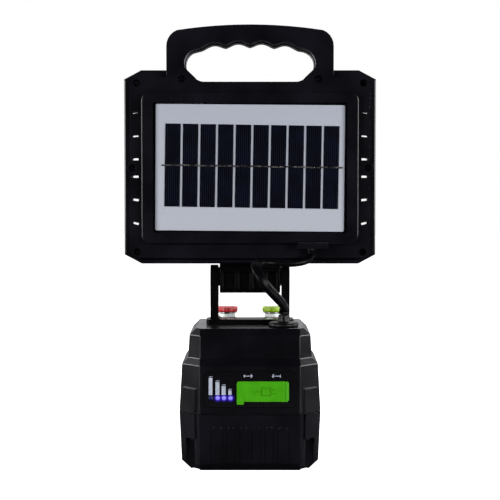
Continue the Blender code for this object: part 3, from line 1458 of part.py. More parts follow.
# ---------------------------------------------------------------- assembly
def make_base(finish, face, hinge):
    make_lower_shell(finish["black_abs"])
    make_upper_shell(finish["gloss_black_abs"], face)
    make_case_seal(finish["black_rubber"])
    make_case_screws(finish["black_zinc_screw"])
    make_label_plate(finish["label_film"], face)
    make_charge_leds(finish["led_epoxy"], face)
    make_usb_sockets(finish["nickel_plate"], face)
    make_port_cover(finish["green_tpe"], face, hinge)
    make_power_button(finish["black_rubber"], finish["black_nylon"])
    for name, x, knob in (("fence", -TERMINAL_X, "red_abs"), ("earth", TERMINAL_X, "green_abs")):
        make_terminal(name, x, finish[knob], finish["stainless_steel"], finish["natural_nylon"])
    make_yoke(finish["black_nylon"])
    make_yoke_screws(finish["stainless_steel"])
    make_pivot(finish["stainless_steel"])
    make_grommet(finish["black_rubber"])
    make_battery_cells(finish["battery_wrap"])
    make_transformer(finish["ferrite"], finish["enamelled_copper"])
    make_capacitor(finish["film_capacitor"])
    make_control_board(finish["circuit_board"], face)


def make_head(finish, tilt):
    make_hinge_block(finish["black_nylon"], tilt)
    make_friction_washers(finish["black_rubber"], tilt)
    make_rear_cover(finish["black_abs"], tilt)
    make_front_shell(finish["black_abs"], tilt)
    make_head_screws(finish["black_zinc_screw"], tilt)
    layers = [finish[name] for name in ("white_backsheet", "silicon_cells", "clear_sheet", "black_rubber")]
    make_solar_panel(*layers, tilt)
    make_lamp(finish["clear_sheet"], finish["white_circuit_board"], finish["extruded_aluminium"], tilt)
    make_reflector(finish["vacuum_silver"], tilt)
    make_gland(finish["black_rubber"], tilt)


def main():
    for obj in list(bpy.data.objects):
        bpy.data.objects.remove(obj, do_unlink=True)
    finish = {name: plastic(name, *values) for name, values in FINISHES.items()}

    lean = atan(UPPER_DRAFT / (SHOULDER_Z - PARTING_Z))
    face = place_empty("front_face", (0, wall_inset(LABEL_Z) - BASE_DEPTH / 2, LABEL_Z), -lean)
    hinge_x = COVER_MIDDLE[0] + COVER_SIZE[0] / 2 - HINGE_BEAD
    hinge_y = LABEL_RECESS - 2 * GAP - LABEL_THICK - HINGE_BEAD
    hinge_place = place_matrix(face) @ Vector((hinge_x, hinge_y, COVER_MIDDLE[1]))
    hinge = place_empty("port_cover_hinge", hinge_place, -lean)
    tilt = place_empty("head_tilt", TILT_AXIS)
    make_base(finish, face, hinge)
    make_head(finish, tilt)
    make_lead(finish["cable_pvc"])


main()
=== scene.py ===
# %% [markdown]
# # A solar fence energizer
# The object is a small electric-fence energizer. A black moulded base holds the battery, and carries a red
# and a green screw terminal on its roof. A yoke holds a tilting head: solar cells on one side, a work lamp on
# the other, and a grip moulded on top. The CAD frame has every piece at its real size, so this script rounds
# the pieces' edges, adds what is printed, soldered and embossed, and gives each piece its finish.

# %% Load the CAD frame
import json
from math import atan, cos, degrees, pi, radians, sin

import bmesh
import bpy
from mathutils import Matrix, Vector


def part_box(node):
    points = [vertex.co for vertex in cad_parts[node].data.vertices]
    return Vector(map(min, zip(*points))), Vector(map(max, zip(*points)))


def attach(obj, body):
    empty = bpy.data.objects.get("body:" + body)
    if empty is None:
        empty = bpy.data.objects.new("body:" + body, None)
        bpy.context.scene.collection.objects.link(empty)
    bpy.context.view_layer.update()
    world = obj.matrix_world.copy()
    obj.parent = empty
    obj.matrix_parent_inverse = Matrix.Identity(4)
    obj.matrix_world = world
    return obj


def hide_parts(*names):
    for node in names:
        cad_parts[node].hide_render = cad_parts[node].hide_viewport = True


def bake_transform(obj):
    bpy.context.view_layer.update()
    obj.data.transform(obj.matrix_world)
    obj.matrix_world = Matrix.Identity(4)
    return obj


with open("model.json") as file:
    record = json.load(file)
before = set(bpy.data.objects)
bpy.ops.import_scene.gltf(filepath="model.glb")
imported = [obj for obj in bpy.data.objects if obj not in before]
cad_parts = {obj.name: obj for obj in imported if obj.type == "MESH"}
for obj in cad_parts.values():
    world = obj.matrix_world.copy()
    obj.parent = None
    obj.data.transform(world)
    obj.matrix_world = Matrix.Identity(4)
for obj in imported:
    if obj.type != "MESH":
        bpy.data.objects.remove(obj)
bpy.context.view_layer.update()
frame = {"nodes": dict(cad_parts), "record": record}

MM = 0.001

# %% [markdown]
# A few small helpers serve every finish. One turns an sRGB hex colour, which is how colours are usually
# written down, into the linear numbers that a shader works with. One adds a shader node with its settings and
# links. The others start a material, blend two shades, rescale a value, make a noise and raise a surface.
# Hand-wiring each node would work too, but it buries the recipe in bookkeeping.


# %% Colour and node helpers
def linear(hex_colour):
    """An sRGB hex colour as linear red, green, blue and alpha."""
    channels = [int(hex_colour[i : i + 2], 16) / 255 for i in (1, 3, 5)]
    return (*[c / 12.92 if c <= 0.04045 else ((c + 0.055) / 1.055) ** 2.4 for c in channels], 1.0)


def add_node(tree, kind, sockets, **settings):
    """A new shader node. Each socket gets a value, or a link when it is given another node's output."""
    node = tree.nodes.new("ShaderNode" + kind)
    for name, value in settings.items():
        setattr(node, name, value)
    for key, value in sockets.items():
        if isinstance(value, bpy.types.NodeSocket):
            tree.links.new(value, node.inputs[key])
        else:
            node.inputs[key].default_value = value
    return node


def start_material(name, **sockets):
    """A new material. Returns it, its node tree, its Principled shader and its Object coordinates."""
    material = bpy.data.materials.new(name)
    material.use_nodes = True
    tree = material.node_tree
    shader = tree.nodes["Principled BSDF"]
    for socket, value in sockets.items():
        shader.inputs[socket.replace("_", " ")].default_value = value
    place = add_node(tree, "TexCoord", {}).outputs["Object"]
    return material, tree, shader, place


def shades(tree, factor, colours, stops=(0.0, 1.0)):
    """A colour that runs from the first sRGB colour to the second between two stops of the factor."""
    node = add_node(tree, "ValToRGB", {"Fac": factor})
    for element, colour, stop in zip(node.color_ramp.elements, colours, stops):
        element.position = stop
        element.color = linear(colour)
    return node.outputs["Color"]


def rescale(tree, value, span, onto=(0.0, 1.0)):
    """A value moved from one span onto another, and held inside it."""
    sockets = {"Value": value, "From Min": span[0], "From Max": span[1]}
    sockets |= {"To Min": onto[0], "To Max": onto[1]}
    return add_node(tree, "MapRange", sockets).outputs["Result"]


def noise(tree, place, size_mm, detail):
    """A noise between 0 and 1 whose patches are about size_mm wide."""
    sockets = {"Vector": place, "Scale": 1 / (size_mm * MM), "Detail": detail}
    return add_node(tree, "TexNoise", sockets).outputs["Fac"]


def raised(tree, height, distance):
    """The normal of a surface that the height raises by up to distance metres."""
    sockets = {"Height": height, "Distance": distance, "Strength": 1.0}
    return add_node(tree, "Bump", sockets).outputs["Normal"]


# %% [markdown]
# Most pieces are moulded, turned or rolled, and what tells them apart is the surface: how much the colour and
# the gloss drift over a few centimetres, and how fine and deep the grain is. So one recipe serves them all:
# a slow noise moves the colour and the roughness, and a fast noise raises the surface a few microns.


# %% The surface recipe
def surface(name, dark, light, gloss, patch_mm, grain_mm, grain_um, stretch=(1, 1, 1), **sockets):
    """A finish whose colour goes from dark to light and whose roughness goes over gloss in patches."""
    material, tree, shader, place = start_material(name, **sockets)
    moved = add_node(tree, "Mapping", {"Vector": place, "Scale": stretch}).outputs["Vector"]
    patches = noise(tree, moved, patch_mm, 3.0)
    grain = noise(tree, moved, grain_mm, 2.0)
    colour = shades(tree, patches, (dark, light), (0.35, 0.68))
    tree.links.new(colour, shader.inputs["Base Color"])
    tree.links.new(rescale(tree, patches, (0.3, 0.7), gloss), shader.inputs["Roughness"])
    tree.links.new(raised(tree, grain, grain_um * MM * MM), shader.inputs["Normal"])
    return material


# %% Plastics and rubbers
# Injection-moulded ABS with a fine spark-eroded grain: a soft sheen, nearly black.
satin_abs = surface("satin_black_abs", "#07070B", "#0B0B12", (0.21, 0.28), 30, 0.5, 6, IOR=1.38)
# The same ABS from a polished mould: it mirrors bright things at a low angle.
gloss_abs = surface("polished_black_abs", "#060609", "#09090E", (0.20, 0.27), 25, 2.5, 4, IOR=1.42)
# Glass-filled nylon: duller, a little brown, for the yoke and hinge that carry the load.
hinge_nylon = surface("glass_filled_nylon", "#040303", "#060505", (0.30, 0.38), 12, 0.6, 8, IOR=1.18)
# Moulded EPDM rubber: dark, soft and almost without sheen.
epdm = surface("epdm_rubber", "#050506", "#08080A", (0.34, 0.44), 8, 0.4, 10, IOR=1.28)
# Extruded PVC sheath: black and faintly waxy.
sheath_pvc = surface("pvc_sheath", "#040406", "#070709", (0.28, 0.36), 10, 1.2, 5, IOR=1.16)
# Thermoplastic elastomer, a bright leaf green with a satin skin.
leaf_tpe = surface("leaf_green_tpe", "#399000", "#3F9C00", (0.45, 0.55), 9, 0.5, 10, IOR=1.28)
# The raised mark in the same elastomer, glossier than the pad. Its darker green is painted shade along the
# raised lines.
shaded_mark_tpe = surface("leaf_green_tpe_mark_painted_shade", "#2F7A00", "#358400", (0.35, 0.42), 5, 0.5, 6, IOR=1.28)
# Terminal knobs in moulded ABS: signal red for the fence, yellow-green for the earth stake.
red_abs = surface("signal_red_abs", "#B81E28", "#CE2E38", (0.30, 0.38), 6, 0.5, 8, IOR=1.52)
lime_abs = surface("lime_green_abs", "#8CB400", "#A2CA12", (0.25, 0.34), 6, 0.5, 8, IOR=1.52)
# Natural nylon 6: milky white insulating collars.
milky_nylon = surface(
    "natural_nylon", "#F2F0EC", "#FBFAF7", (0.30, 0.40), 6, 0.5, 8, IOR=1.53, Subsurface_Weight=0.2
)
print("plastics and rubbers done")

# %% Metals and what is inside
# Turned stainless steel: fine rings round the axis, so the noise is squeezed along Z.
turned_steel = surface(
    "turned_stainless", "#A9A8A6", "#C4C3C0", (0.22, 0.34), 4, 0.4, 4, (1, 1, 6), Metallic=1.0
)
# Black zinc on steel screws: dark and slightly oily.
black_zinc = surface("black_zinc_steel", "#17171A", "#26262A", (0.30, 0.42), 2, 0.3, 4, Metallic=1.0)
# Nickel plate on the socket shells: warm and mirror-like with rolling lines.
nickel = surface("nickel_plate", "#B9B3A8", "#D0CBC0", (0.15, 0.25), 3, 0.3, 2, (1, 6, 1), Metallic=1.0)
# Vacuum-metallised reflector: a bright mirror with a slight orange peel.
mirror_coat = surface("metallised_reflector", "#B5B6B8", "#C9CACC", (0.12, 0.20), 18, 3.0, 12, Metallic=1.0)
# Extruded aluminium of the heat plate: drawn lines along X.
drawn_aluminium = surface(
    "drawn_aluminium", "#A8AAAD", "#BDBFC2", (0.30, 0.42), 8, 0.4, 4, (0.1, 1, 1), Metallic=1.0
)
# Glass-epoxy boards, with green or white solder mask over the weave.
green_mask = surface("green_solder_mask", "#0E4A28", "#146035", (0.28, 0.36), 6, 0.6, 6, Coat_Weight=0.3)
white_mask = surface("white_solder_mask", "#A9AAA7", "#BCBDB9", (0.28, 0.36), 6, 0.6, 6, Coat_Weight=0.3)
# Shrink film on the battery cells, a ferrite core, its enamelled winding and a film capacitor's box.
shrink_film = surface("blue_shrink_film", "#1B57A6", "#2567BB", (0.20, 0.30), 8, 2.0, 8)
ferrite = surface("sintered_ferrite", "#232325", "#303033", (0.45, 0.60), 3, 0.4, 12)
enamel_wire = surface(
    "enamelled_copper", "#8E4A22", "#B4652F", (0.22, 0.32), 1.5, 0.5, 60, (1, 1, 4), Metallic=1.0
)
film_box = surface("capacitor_case", "#C79A2A", "#D6AB3A", (0.30, 0.40), 6, 0.6, 6)
# The silicone over each LED chip, yellow with phosphor.
phosphor = surface("led_phosphor", "#D8A81C", "#E6BC34", (0.35, 0.45), 1.0, 0.3, 8)
print("metals and inner parts done")

# %% [markdown]
# The solar panel is a laminate: a pale sheet, ten cut strips of silicon, and a clear resin on top. Strips of
# multicrystalline silicon look blue-black. Hair-thin silver fingers cross each strip, here 1.55 mm apart, and
# a thick tinned ribbon joins the strips. The fingers are far too thin and too even to model, so the material
# draws them, from the position across the panel, after a turn that matches the slightly crooked strips.

# %% Silicon strips
CELL_TURN = radians(0.90)
FINGER_PITCH = 1.55
FINGER_SHARE = 0.20  # how much of the pitch a finger covers
CRYSTAL_SIZE = 14.0
silicon, tree, shader, place = start_material("silicon_strips", Roughness=0.22, IOR=1.35)
turned = add_node(tree, "Mapping", {"Vector": place, "Rotation": (0, -CELL_TURN, 0)}).outputs["Vector"]
across = add_node(tree, "SeparateXYZ", {"Vector": turned}).outputs["X"]
count = add_node(tree, "Math", {0: across, 1: 1 / (FINGER_PITCH * MM)}, operation="MULTIPLY").outputs[0]
phase = add_node(tree, "Math", {0: count, 1: 1.0}, operation="FLOORED_MODULO").outputs[0]
finger = add_node(tree, "Math", {0: phase, 1: FINGER_SHARE}, operation="LESS_THAN").outputs[0]
blue = shades(tree, noise(tree, turned, CRYSTAL_SIZE, 1.0), ("#020206", "#050919"), (0.42, 0.75))
drawn = add_node(tree, "Mix", {"Factor": finger, 6: blue, 7: linear("#181B28")}, data_type="RGBA").outputs[2]
tree.links.new(drawn, shader.inputs["Base Color"])
# Tinned copper ribbon: dull grey, with bright blobs of solder.
tinned = surface("tinned_ribbon", "#3A3733", "#A8A49C", (0.20, 0.40), 2.2, 0.8, 60, (0.5, 1, 1), Metallic=1.0)
solder = surface("solder_blobs", "#B9B4AA", "#E6E2DA", (0.12, 0.22), 1.2, 0.6, 40, Metallic=1.0)
# White glass-fibre backing sheet, a little blue, with painted shade that makes it greyer towards its top.
# the heights, in mm, over which the painted shade greys the backing towards its top
PANEL_LOW, PANEL_HIGH = 188.0, 288.0
backing, tree, shader, place = start_material(
    "backing_sheet", Roughness=0.38, Coat_Weight=0.2, Coat_Roughness=0.12
)
height = add_node(tree, "SeparateXYZ", {"Vector": place}).outputs["Z"]
shade_towards_top = rescale(tree, height, (PANEL_LOW * MM, PANEL_HIGH * MM))
weave = noise(tree, place, 1.1, 1.0)
# the weave adds a faint mottle to the painted shade, which greys the sheet towards its top
weave_and_shade = add_node(tree, "Math", {0: weave, 1: 0.10, 2: shade_towards_top}, operation="MULTIPLY_ADD").outputs[0]
tint_and_shade = shades(tree, weave_and_shade, ("#BCC0CA", "#B2B7C3"), (0.05, 1.0))
tree.links.new(tint_and_shade, shader.inputs["Base Color"])
tree.links.new(raised(tree, weave, 0.006 * MM), shader.inputs["Normal"])
print("panel finishes done")

# %% [markdown]
# The clear parts are thin sheets. A full glass shader would bend and darken what lies behind a sheet of half
# a millimetre, and cost a lot of samples, so the sheets are mostly transparent and keep only a film of gloss.
# Moulded ribs in the lamp's lens spread its light, and are drawn as two crossed waves in the surface. The
# same waves paint shade into the troughs and a highlight onto the crests.

# %% Clear sheets
resin_film = surface("clear_resin", "#101114", "#16171A", (0.05, 0.09), 20, 4.0, 2, Alpha=0.05, IOR=1.35)
lamp_clear, tree, shader, place = start_material("ribbed_polycarbonate", Alpha=0.25, Roughness=0.12)
RIB_PITCH = 8.0
RIB_SCALE = 2 * pi / 20 / (RIB_PITCH * MM)  # a wave texture repeats every 2 pi / 20 of its scale
waves = []
for axis in ("X", "Z"):
    wave = add_node(tree, "TexWave", {"Vector": place, "Scale": RIB_SCALE}, bands_direction=axis)
    waves.append(wave.outputs["Fac"])
lattice = add_node(tree, "Math", {0: waves[0], 1: waves[1]}, operation="ADD").outputs[0]
ribbed = add_node(tree, "Bump", {"Height": lattice, "Distance": 0.25 * MM, "Strength": 0.6}).outputs["Normal"]
# the colour follows the rib height: painted shade in the troughs and painted highlight on the crests
tree.links.new(shades(tree, lattice, ("#8F959C", "#B4B9BF")), shader.inputs["Base Color"])
tree.links.new(ribbed, shader.inputs["Normal"])
print("clear sheets done")

# %% [markdown]
# The front panel is a glossy black film with pale print. Its charge lights are domes of cast epoxy. Three are
# lit, and their violet light spills on the film round them. A real glow would need a light inside each dome
# and many samples, so the film itself shines faintly near the lit domes, fading with distance.

# %% The front face's own place
PARTING_Z = 46.0
WALL_RISE, WALL_LEAN = 37.5, 2.1  # the front wall leans back by so much over so much height
HALF_DEPTH = 52.0  # of the base, at its parting line
FACE_Z = 65.4
LEAN = atan(WALL_LEAN / WALL_RISE)
FACE_Y = WALL_LEAN * (FACE_Z - PARTING_Z) / WALL_RISE - HALF_DEPTH
to_face = Matrix.Translation((0, FACE_Y * MM, FACE_Z * MM)) @ Matrix.Rotation(-LEAN, 4, "X")
FILM_FRONT = 0.20  # the film's surface, in mm behind the front wall's surface
LED_XS = (-30.6, -25.2, -20.3, -15.2)
LED_Z = -6.7
LED_RADIUS = 1.75
GLOW_SPAN = (1.6 * MM, 3.9 * MM)  # how far from a light's middle its glow starts to fade, and ends

# %% Film, print and lights
# Black polyester film, with faint dust.
film, tree, shader, place = start_material(
    "black_polyester_film", Roughness=0.16, Coat_Weight=0.3, Coat_Roughness=0.1
)
tree.links.new(shades(tree, noise(tree, place, 3, 4.0), ("#050507", "#0B0B0E")), shader.inputs["Base Color"])
glow = 0.0
for x in LED_XS[1:]:
    lamp = to_face @ Vector((x * MM, FILM_FRONT * MM, LED_Z * MM))
    away = add_node(tree, "VectorMath", {0: place, 1: lamp}, operation="DISTANCE").outputs["Value"]
    near = rescale(tree, away, GLOW_SPAN, (1.0, 0.0))
    fade = add_node(tree, "Math", {0: near, 1: 2.2}, operation="POWER").outputs[0]
    glow = add_node(tree, "Math", {0: fade, 1: glow}, operation="ADD").outputs[0]
violet = {"Factor": glow, 6: (0, 0, 0, 1), 7: linear("#3A1CC8")}
spill = add_node(tree, "Mix", violet, data_type="RGBA").outputs[2]
tree.links.new(spill, shader.inputs["Emission Color"])
shader.inputs["Emission Strength"].default_value = 1.0
# Screen-printed ink, a pale blue grey.
ink = surface("pale_ink", "#9FA6B6", "#B4BAC8", (0.40, 0.50), 3, 0.4, 3)
# Cast epoxy, unlit: deep blue with a bright skin.
unlit_epoxy = surface("unlit_epoxy", "#10164A", "#1C2468", (0.08, 0.14), 2, 0.8, 4)
# Cast epoxy, lit: a white-violet heart that turns violet towards the rim.
lit_epoxy, tree, shader, place = start_material("lit_epoxy", Roughness=0.15, Emission_Strength=0.9)
edge = add_node(tree, "LayerWeight", {"Blend": 0.45}).outputs["Facing"]
tree.links.new(shades(tree, edge, ("#9C92FF", "#4A36E0")), shader.inputs["Emission Color"])
shader.inputs["Base Color"].default_value = linear("#15104A")
print("film, ink and lights done")

# %% [markdown]
# The CAD solids have knife-sharp edges. A moulded edge always has a small radius, and on a black object that
# radius is nearly all the eye sees: a thin bright line where it catches the light. So each visible solid is
# copied, its triangles are merged back into flat faces, and its edges are bevelled. The radius differs from
# piece to piece, and inside one piece a filter can pick the edges that get a larger one.


# %% Rounding helpers
def body_of(node):
    """The name of the body that a CAD node belongs to."""
    for body, nodes in frame["record"]["behaviour"]["bodies"].items():
        if node in nodes:
            return body
    raise KeyError(node)


def flat_faced(node):
    """A CAD node's shape as a bmesh whose coplanar triangles are merged."""
    bm = bmesh.new()
    bm.from_mesh(frame["nodes"][node].data)
    bmesh.ops.remove_doubles(bm, verts=bm.verts, dist=0.002 * MM)
    bmesh.ops.dissolve_limit(bm, angle_limit=radians(1.0), verts=bm.verts, edges=bm.edges, delimit=set())
    return bm


def round_edges(bm, radius_mm, segments=2, least=33, where=None):
    """Bevels the edges that turn by more than least degrees and whose middle passes the filter."""
    chosen = []
    for edge in bm.edges:
        if len(edge.link_faces) != 2 or degrees(edge.calc_face_angle(0)) < least:
            continue
        middle = (edge.verts[0].co + edge.verts[1].co) / 2 / MM
        if where is None or where(middle):
            chosen.append(edge)
    bmesh.ops.bevel(
        bm,
        geom=chosen,
        offset=radius_mm * MM,
        offset_type="OFFSET",
        segments=segments,
        profile=0.5,
        affect="EDGES",
        clamp_overlap=True,
        material=-1,
    )


def as_piece(bm, name, material, body, stands_for=(), sharp=40):
    """A finished piece from a bmesh: smooth shaded, riding on a body, in place of some CAD nodes."""
    mesh = bpy.data.meshes.new(name)
    bm.to_mesh(mesh)
    bm.free()
    mesh.shade_smooth()
    mesh.set_sharp_from_angle(angle=radians(sharp))
    mesh.materials.append(material)
    piece = bpy.data.objects.new(name, mesh)
    bpy.context.scene.collection.objects.link(piece)
    flatten = piece.modifiers.new("flatten", "WEIGHTED_NORMAL")
    flatten.keep_sharp = True
    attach(piece, body)
    if stands_for:
        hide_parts(*stands_for)
    return piece


# %% [markdown]
# The base is two deep shells that meet at a seam. Its vertical corners and shoulders were rounded generously
# in the mould, the small features were not. The upper shell is bevelled twice: first the long outer edges
# with a large radius, then every other edge with a small one. Filters pick the edges by where their middles
# lie. The screw pockets and the inside of the lower shell stay sharp, because nobody sees them.


# %% Which edges of the base
LABEL_HALF = (38, 16)  # half the label's recess, with a margin, as x and z
ROOF_HALF = (40.5, 36.5)  # half the roof inside its chamfer, as x and y
ROOF_EDGE_Z = 112.5
POCKET_TOP = 28


def upper_outline(middle):
    """True for the upper shell's outer edges, away from the label, the holes in the roof and the inside."""
    beside_label = abs(middle.x) < LABEL_HALF[0] and abs(middle.z - FACE_Z) < LABEL_HALF[1]
    on_label = beside_label and middle.y < -45
    inner = abs(middle.x) < ROOF_HALF[0] and abs(middle.y) < ROOF_HALF[1]
    outer = not on_label and not inner and abs(middle.y) > 30
    return outer and PARTING_Z + 3 < middle.z < ROOF_EDGE_Z


def lower_outline(middle):
    """True for the lower shell's outer edges and ribs, away from the screw pockets and the inside."""
    in_pocket = abs(middle.x) > 34 and abs(middle.y) > 32 and middle.z < POCKET_TOP
    return middle.z > 1 and not in_pocket and (abs(middle.x) > 50 or abs(middle.y) > 46)


# %% Base shells
def report(piece):
    """Prints a piece's face count and its size."""
    size = piece.dimensions / MM
    print(f"{piece.name}: {len(piece.data.polygons)} faces, {size.x:.1f} x {size.y:.1f} x {size.z:.1f} mm")


bm = flat_faced("upper_shell")
round_edges(bm, 1.3, 3, 20, upper_outline)
round_edges(bm, 0.35, 2, 40)
report(as_piece(bm, "case_top", gloss_abs, "base", ["upper_shell"]))

bm = flat_faced("lower_shell")
round_edges(bm, 0.5, 2, 25, lower_outline)
report(as_piece(bm, "case_bottom", satin_abs, "base", ["lower_shell"]))

# %% [markdown]
# The head's two shells carry the grip. Fingers wrap round the grip, so its edges have a large radius, while
# the bezel, the vents and the screw holes are crisp. The larger bevel comes first and is limited to the
# grip's outer face, because a bevel needs clean corners to work on.

# %% Which edges of the head
HEAD_MIDDLE_Z = 238.3
GRIP_FOOT_Z = 311.0
GRIP_CLEAR_Z = 318.0  # above the top corners of the housing
RIM_Y = -31.0  # the rear cover's outer face, which the bezel stands on


def grip_face(middle):
    """True for the outer face of the grip's half on the rear cover."""
    return middle.z > GRIP_FOOT_Z and abs(middle.x) < 67 and middle.y < -26.5


def cover_rim(middle):
    """True for the rear cover's outline, where its outer face ends."""
    at_rim = abs(middle.x) > 80 or abs(middle.z - HEAD_MIDDLE_Z) > 58
    return at_rim and abs(middle.y - RIM_Y) < 0.2


def cover_side(middle):
    """True for the edges between the cover's outer face and the housing."""
    return not grip_face(middle) and -28 < middle.y < -15.5 and middle.z < 320


def housing_grip(middle):
    """True for the outer edges of the grip's half on the housing."""
    return middle.z > GRIP_CLEAR_Z and middle.y > -4


def housing_outline(middle):
    """True for the edges of the housing's rim, away from the lens and the inside."""
    outer = abs(middle.x) > 70 or middle.z < 163.5 or middle.z > 300
    return outer and middle.z <= GRIP_CLEAR_Z and middle.y > -24


# %% Head shells and hinge
bm = flat_faced("head_rear_cover")
round_edges(bm, 1.3, 3, 50, grip_face)
round_edges(bm, 0.9, 3, 60, cover_rim)
round_edges(bm, 0.5, 2, 40, cover_side)
report(as_piece(bm, "head_cover", satin_abs, "head", ["head_rear_cover"]))

bm = flat_faced("head_front_shell")
round_edges(bm, 1.3, 3, 30, housing_grip)
round_edges(bm, 0.6, 2, 25, housing_outline)
report(as_piece(bm, "head_housing", satin_abs, "head", ["head_front_shell"]))

for node, radius in (("yoke_bracket", 0.8), ("hinge_block", 0.7)):
    bm = flat_faced(node)
    round_edges(bm, radius, 2, 40)
    report(as_piece(bm, f"{node}_moulded", hinge_nylon, body_of(node), [node]))

# %% [markdown]
# The smaller solids are treated in one loop: a list of the node, the radius of its edges and its finish.
# What is flat or sealed inside keeps its CAD mesh, because rounder edges would not show on it, but it still
# gets its real finish.

# %% Small solids
SMALL = {
    "power_button": (0.50, epdm),
    "fence_knob": (0.35, red_abs),
    "earth_knob": (0.35, lime_abs),
    "fence_collar": (0.40, milky_nylon),
    "earth_collar": (0.40, milky_nylon),
    "fence_washer": (0.15, turned_steel),
    "earth_washer": (0.15, turned_steel),
    "fence_stud": (0.20, turned_steel),
    "earth_stud": (0.20, turned_steel),
    "pivot_bolt": (0.20, turned_steel),
    "pivot_nut": (0.20, turned_steel),
    "yoke_screw_1": (0.10, turned_steel),
    "yoke_screw_2": (0.10, turned_steel),
    "cable_gland": (0.25, epdm),
    "lamp_lens": (0.30, lamp_clear),
    "lamp_reflector": (0.20, mirror_coat),
    "solar_backing": (0.15, backing),
    "label_plate": (0.12, film),
    "usb_out_socket": (0.10, nickel),
    "usb_in_socket": (0.10, nickel),
}
SMALL |= {f"head_screw_{i}": (0.15, black_zinc) for i in range(1, 9)}
SMALL |= {f"case_screw_{i}": (0.15, black_zinc) for i in range(1, 5)}
for node, (radius, finish) in SMALL.items():
    bm = flat_faced(node)
    round_edges(bm, radius, 2, 35)
    as_piece(bm, f"{node}_finished", finish, body_of(node), [node])
print(len(SMALL), "small solids rounded")

INNER = {
    "case_seal": epdm,
    "panel_seal": epdm,
    "friction_washer_left": epdm,
    "friction_washer_right": epdm,
    "control_board": green_mask,
    "led_board": white_mask,
    "heat_plate": drawn_aluminium,
    "battery_cell_1": shrink_film,
    "battery_cell_2": shrink_film,
    "transformer_core": ferrite,
    "transformer_coil": enamel_wire,
    "pulse_capacitor": film_box,
    "button_switch": hinge_nylon,
    "solar_cover_sheet": resin_film,
}
for node, finish in INNER.items():
    mesh = frame["nodes"][node].data
    mesh.materials.clear()
    mesh.materials.append(finish)
print(len(INNER), "flat and inner nodes finished")

# %% [markdown]
# The port cover is a soft pad with two round corners. Its embossed mark is a plain plug: a body, two prongs
# and a cord. It could be a bump in the material, but a raised line of real geometry catches the light
# properly from every side, and it is what the mould makes. Each stroke is a thin bar.


# %% Bars on the front face
def bar(bm, centre, size, front, proud, turn=0.0):
    """A thin bar on the front face. Centre and size are x and z in mm; front is the depth it stands on."""
    place = Matrix.Translation(Vector((centre[0], front - proud / 2, centre[1])) * MM)
    scale = Matrix.Diagonal((size[0] * MM, proud * MM, size[1] * MM, 1))
    bmesh.ops.create_cube(bm, size=1, matrix=to_face @ place @ Matrix.Rotation(turn, 4, "Y") @ scale)


def round_corner(bm, centre, radius, quarter):
    """Cuts a square corner of a slab on the front face round. The quarter is the signs of its x and z."""
    for step in (22.5, 45.0, 67.5):
        outward = Vector((quarter[0] * cos(radians(step)), 0, quarter[1] * sin(radians(step))))
        point = (Vector((centre[0], 0, centre[1])) + outward * radius) * MM
        cut = bmesh.ops.bisect_plane(
            bm,
            geom=[*bm.verts, *bm.edges, *bm.faces],
            plane_co=to_face @ point,
            plane_no=to_face.to_3x3() @ outward,
            clear_outer=True,
        )
        rim = [item for item in cut["geom_cut"] if isinstance(item, bmesh.types.BMEdge)]
        bmesh.ops.holes_fill(bm, edges=rim, sides=0)


# %% Port cover and its mark
FLAP_RIGHT, FLAP_TOP, FLAP_BOTTOM, FLAP_ROUND = 30.3, 6.35, -9.35, 2.2
COVER_FRONT = -2.1
EMBOSS = 0.16
PLUG = (12.5, -1.5)  # the middle of the embossed plug
bm = flat_faced("port_cover")
for quarter, z in (((1, 1), FLAP_TOP - FLAP_ROUND), ((1, -1), FLAP_BOTTOM + FLAP_ROUND)):
    round_corner(bm, (FLAP_RIGHT - FLAP_ROUND, z), FLAP_ROUND, quarter)
round_edges(bm, 0.45, 3, 50)
report(as_piece(bm, "port_flap", leaf_tpe, "port_flap", ["port_cover"]))

bm = bmesh.new()
for dz in (-3.0, 3.0):
    bar(bm, (PLUG[0], PLUG[1] + dz), (7.0, 0.7), COVER_FRONT, EMBOSS)
for dx in (-3.5, 3.5):
    bar(bm, (PLUG[0] + dx, PLUG[1]), (0.7, 6.7), COVER_FRONT, EMBOSS)
for dz in (-1.5, 1.5):
    bar(bm, (PLUG[0] + 5.6, PLUG[1] + dz), (3.6, 0.8), COVER_FRONT, EMBOSS)
bar(bm, (PLUG[0] - 7.2, PLUG[1]), (6.8, 0.8), COVER_FRONT, EMBOSS)
# the mark's darker green is painted shade on the raised lines
report(as_piece(bm, "port_flap_emboss", shaded_mark_tpe, "port_flap"))

# %% [markdown]
# The print on the film shows the charge in four steps, tallest at the left, each over its light, with a short
# dash on top. An arrow out and an arrow in stand over the two ports, in place of words.

# %% Printed marks
INK_THICK = 0.03
BAR_LOW = 61.1 - FACE_Z
BARS = ((-30.75, 74.4, 2.9), (-25.35, 71.1, 3.1), (-20.55, 68.0, 3.1), (-15.65, 64.6, 2.5))
ARROW_XS = ((-1.1, 1), (20.3, -1))  # each arrow's middle, and which way it points
bm = bmesh.new()
for x, top, width in BARS:
    high = top - FACE_Z
    bar(bm, (x, (BAR_LOW + high) / 2), (width, high - BAR_LOW), FILM_FRONT, INK_THICK)
    bar(bm, (x + 0.1, high + 0.95), (width * 0.9, 0.45), FILM_FRONT, INK_THICK)
for x, way in ARROW_XS:
    z = 75.8 - FACE_Z
    bar(bm, (x, z), (6.0, 0.55), FILM_FRONT, INK_THICK)
    bar(bm, (x + way * 2.45, z + 0.62), (2.0, 0.55), FILM_FRONT, INK_THICK, way * pi / 4)
    bar(bm, (x + way * 2.45, z - 0.62), (2.0, 0.55), FILM_FRONT, INK_THICK, -way * pi / 4)
    bar(bm, (x - way * 3.3, z), (0.55, 2.2), FILM_FRONT, INK_THICK)
report(as_piece(bm, "label_print", ink, "base"))

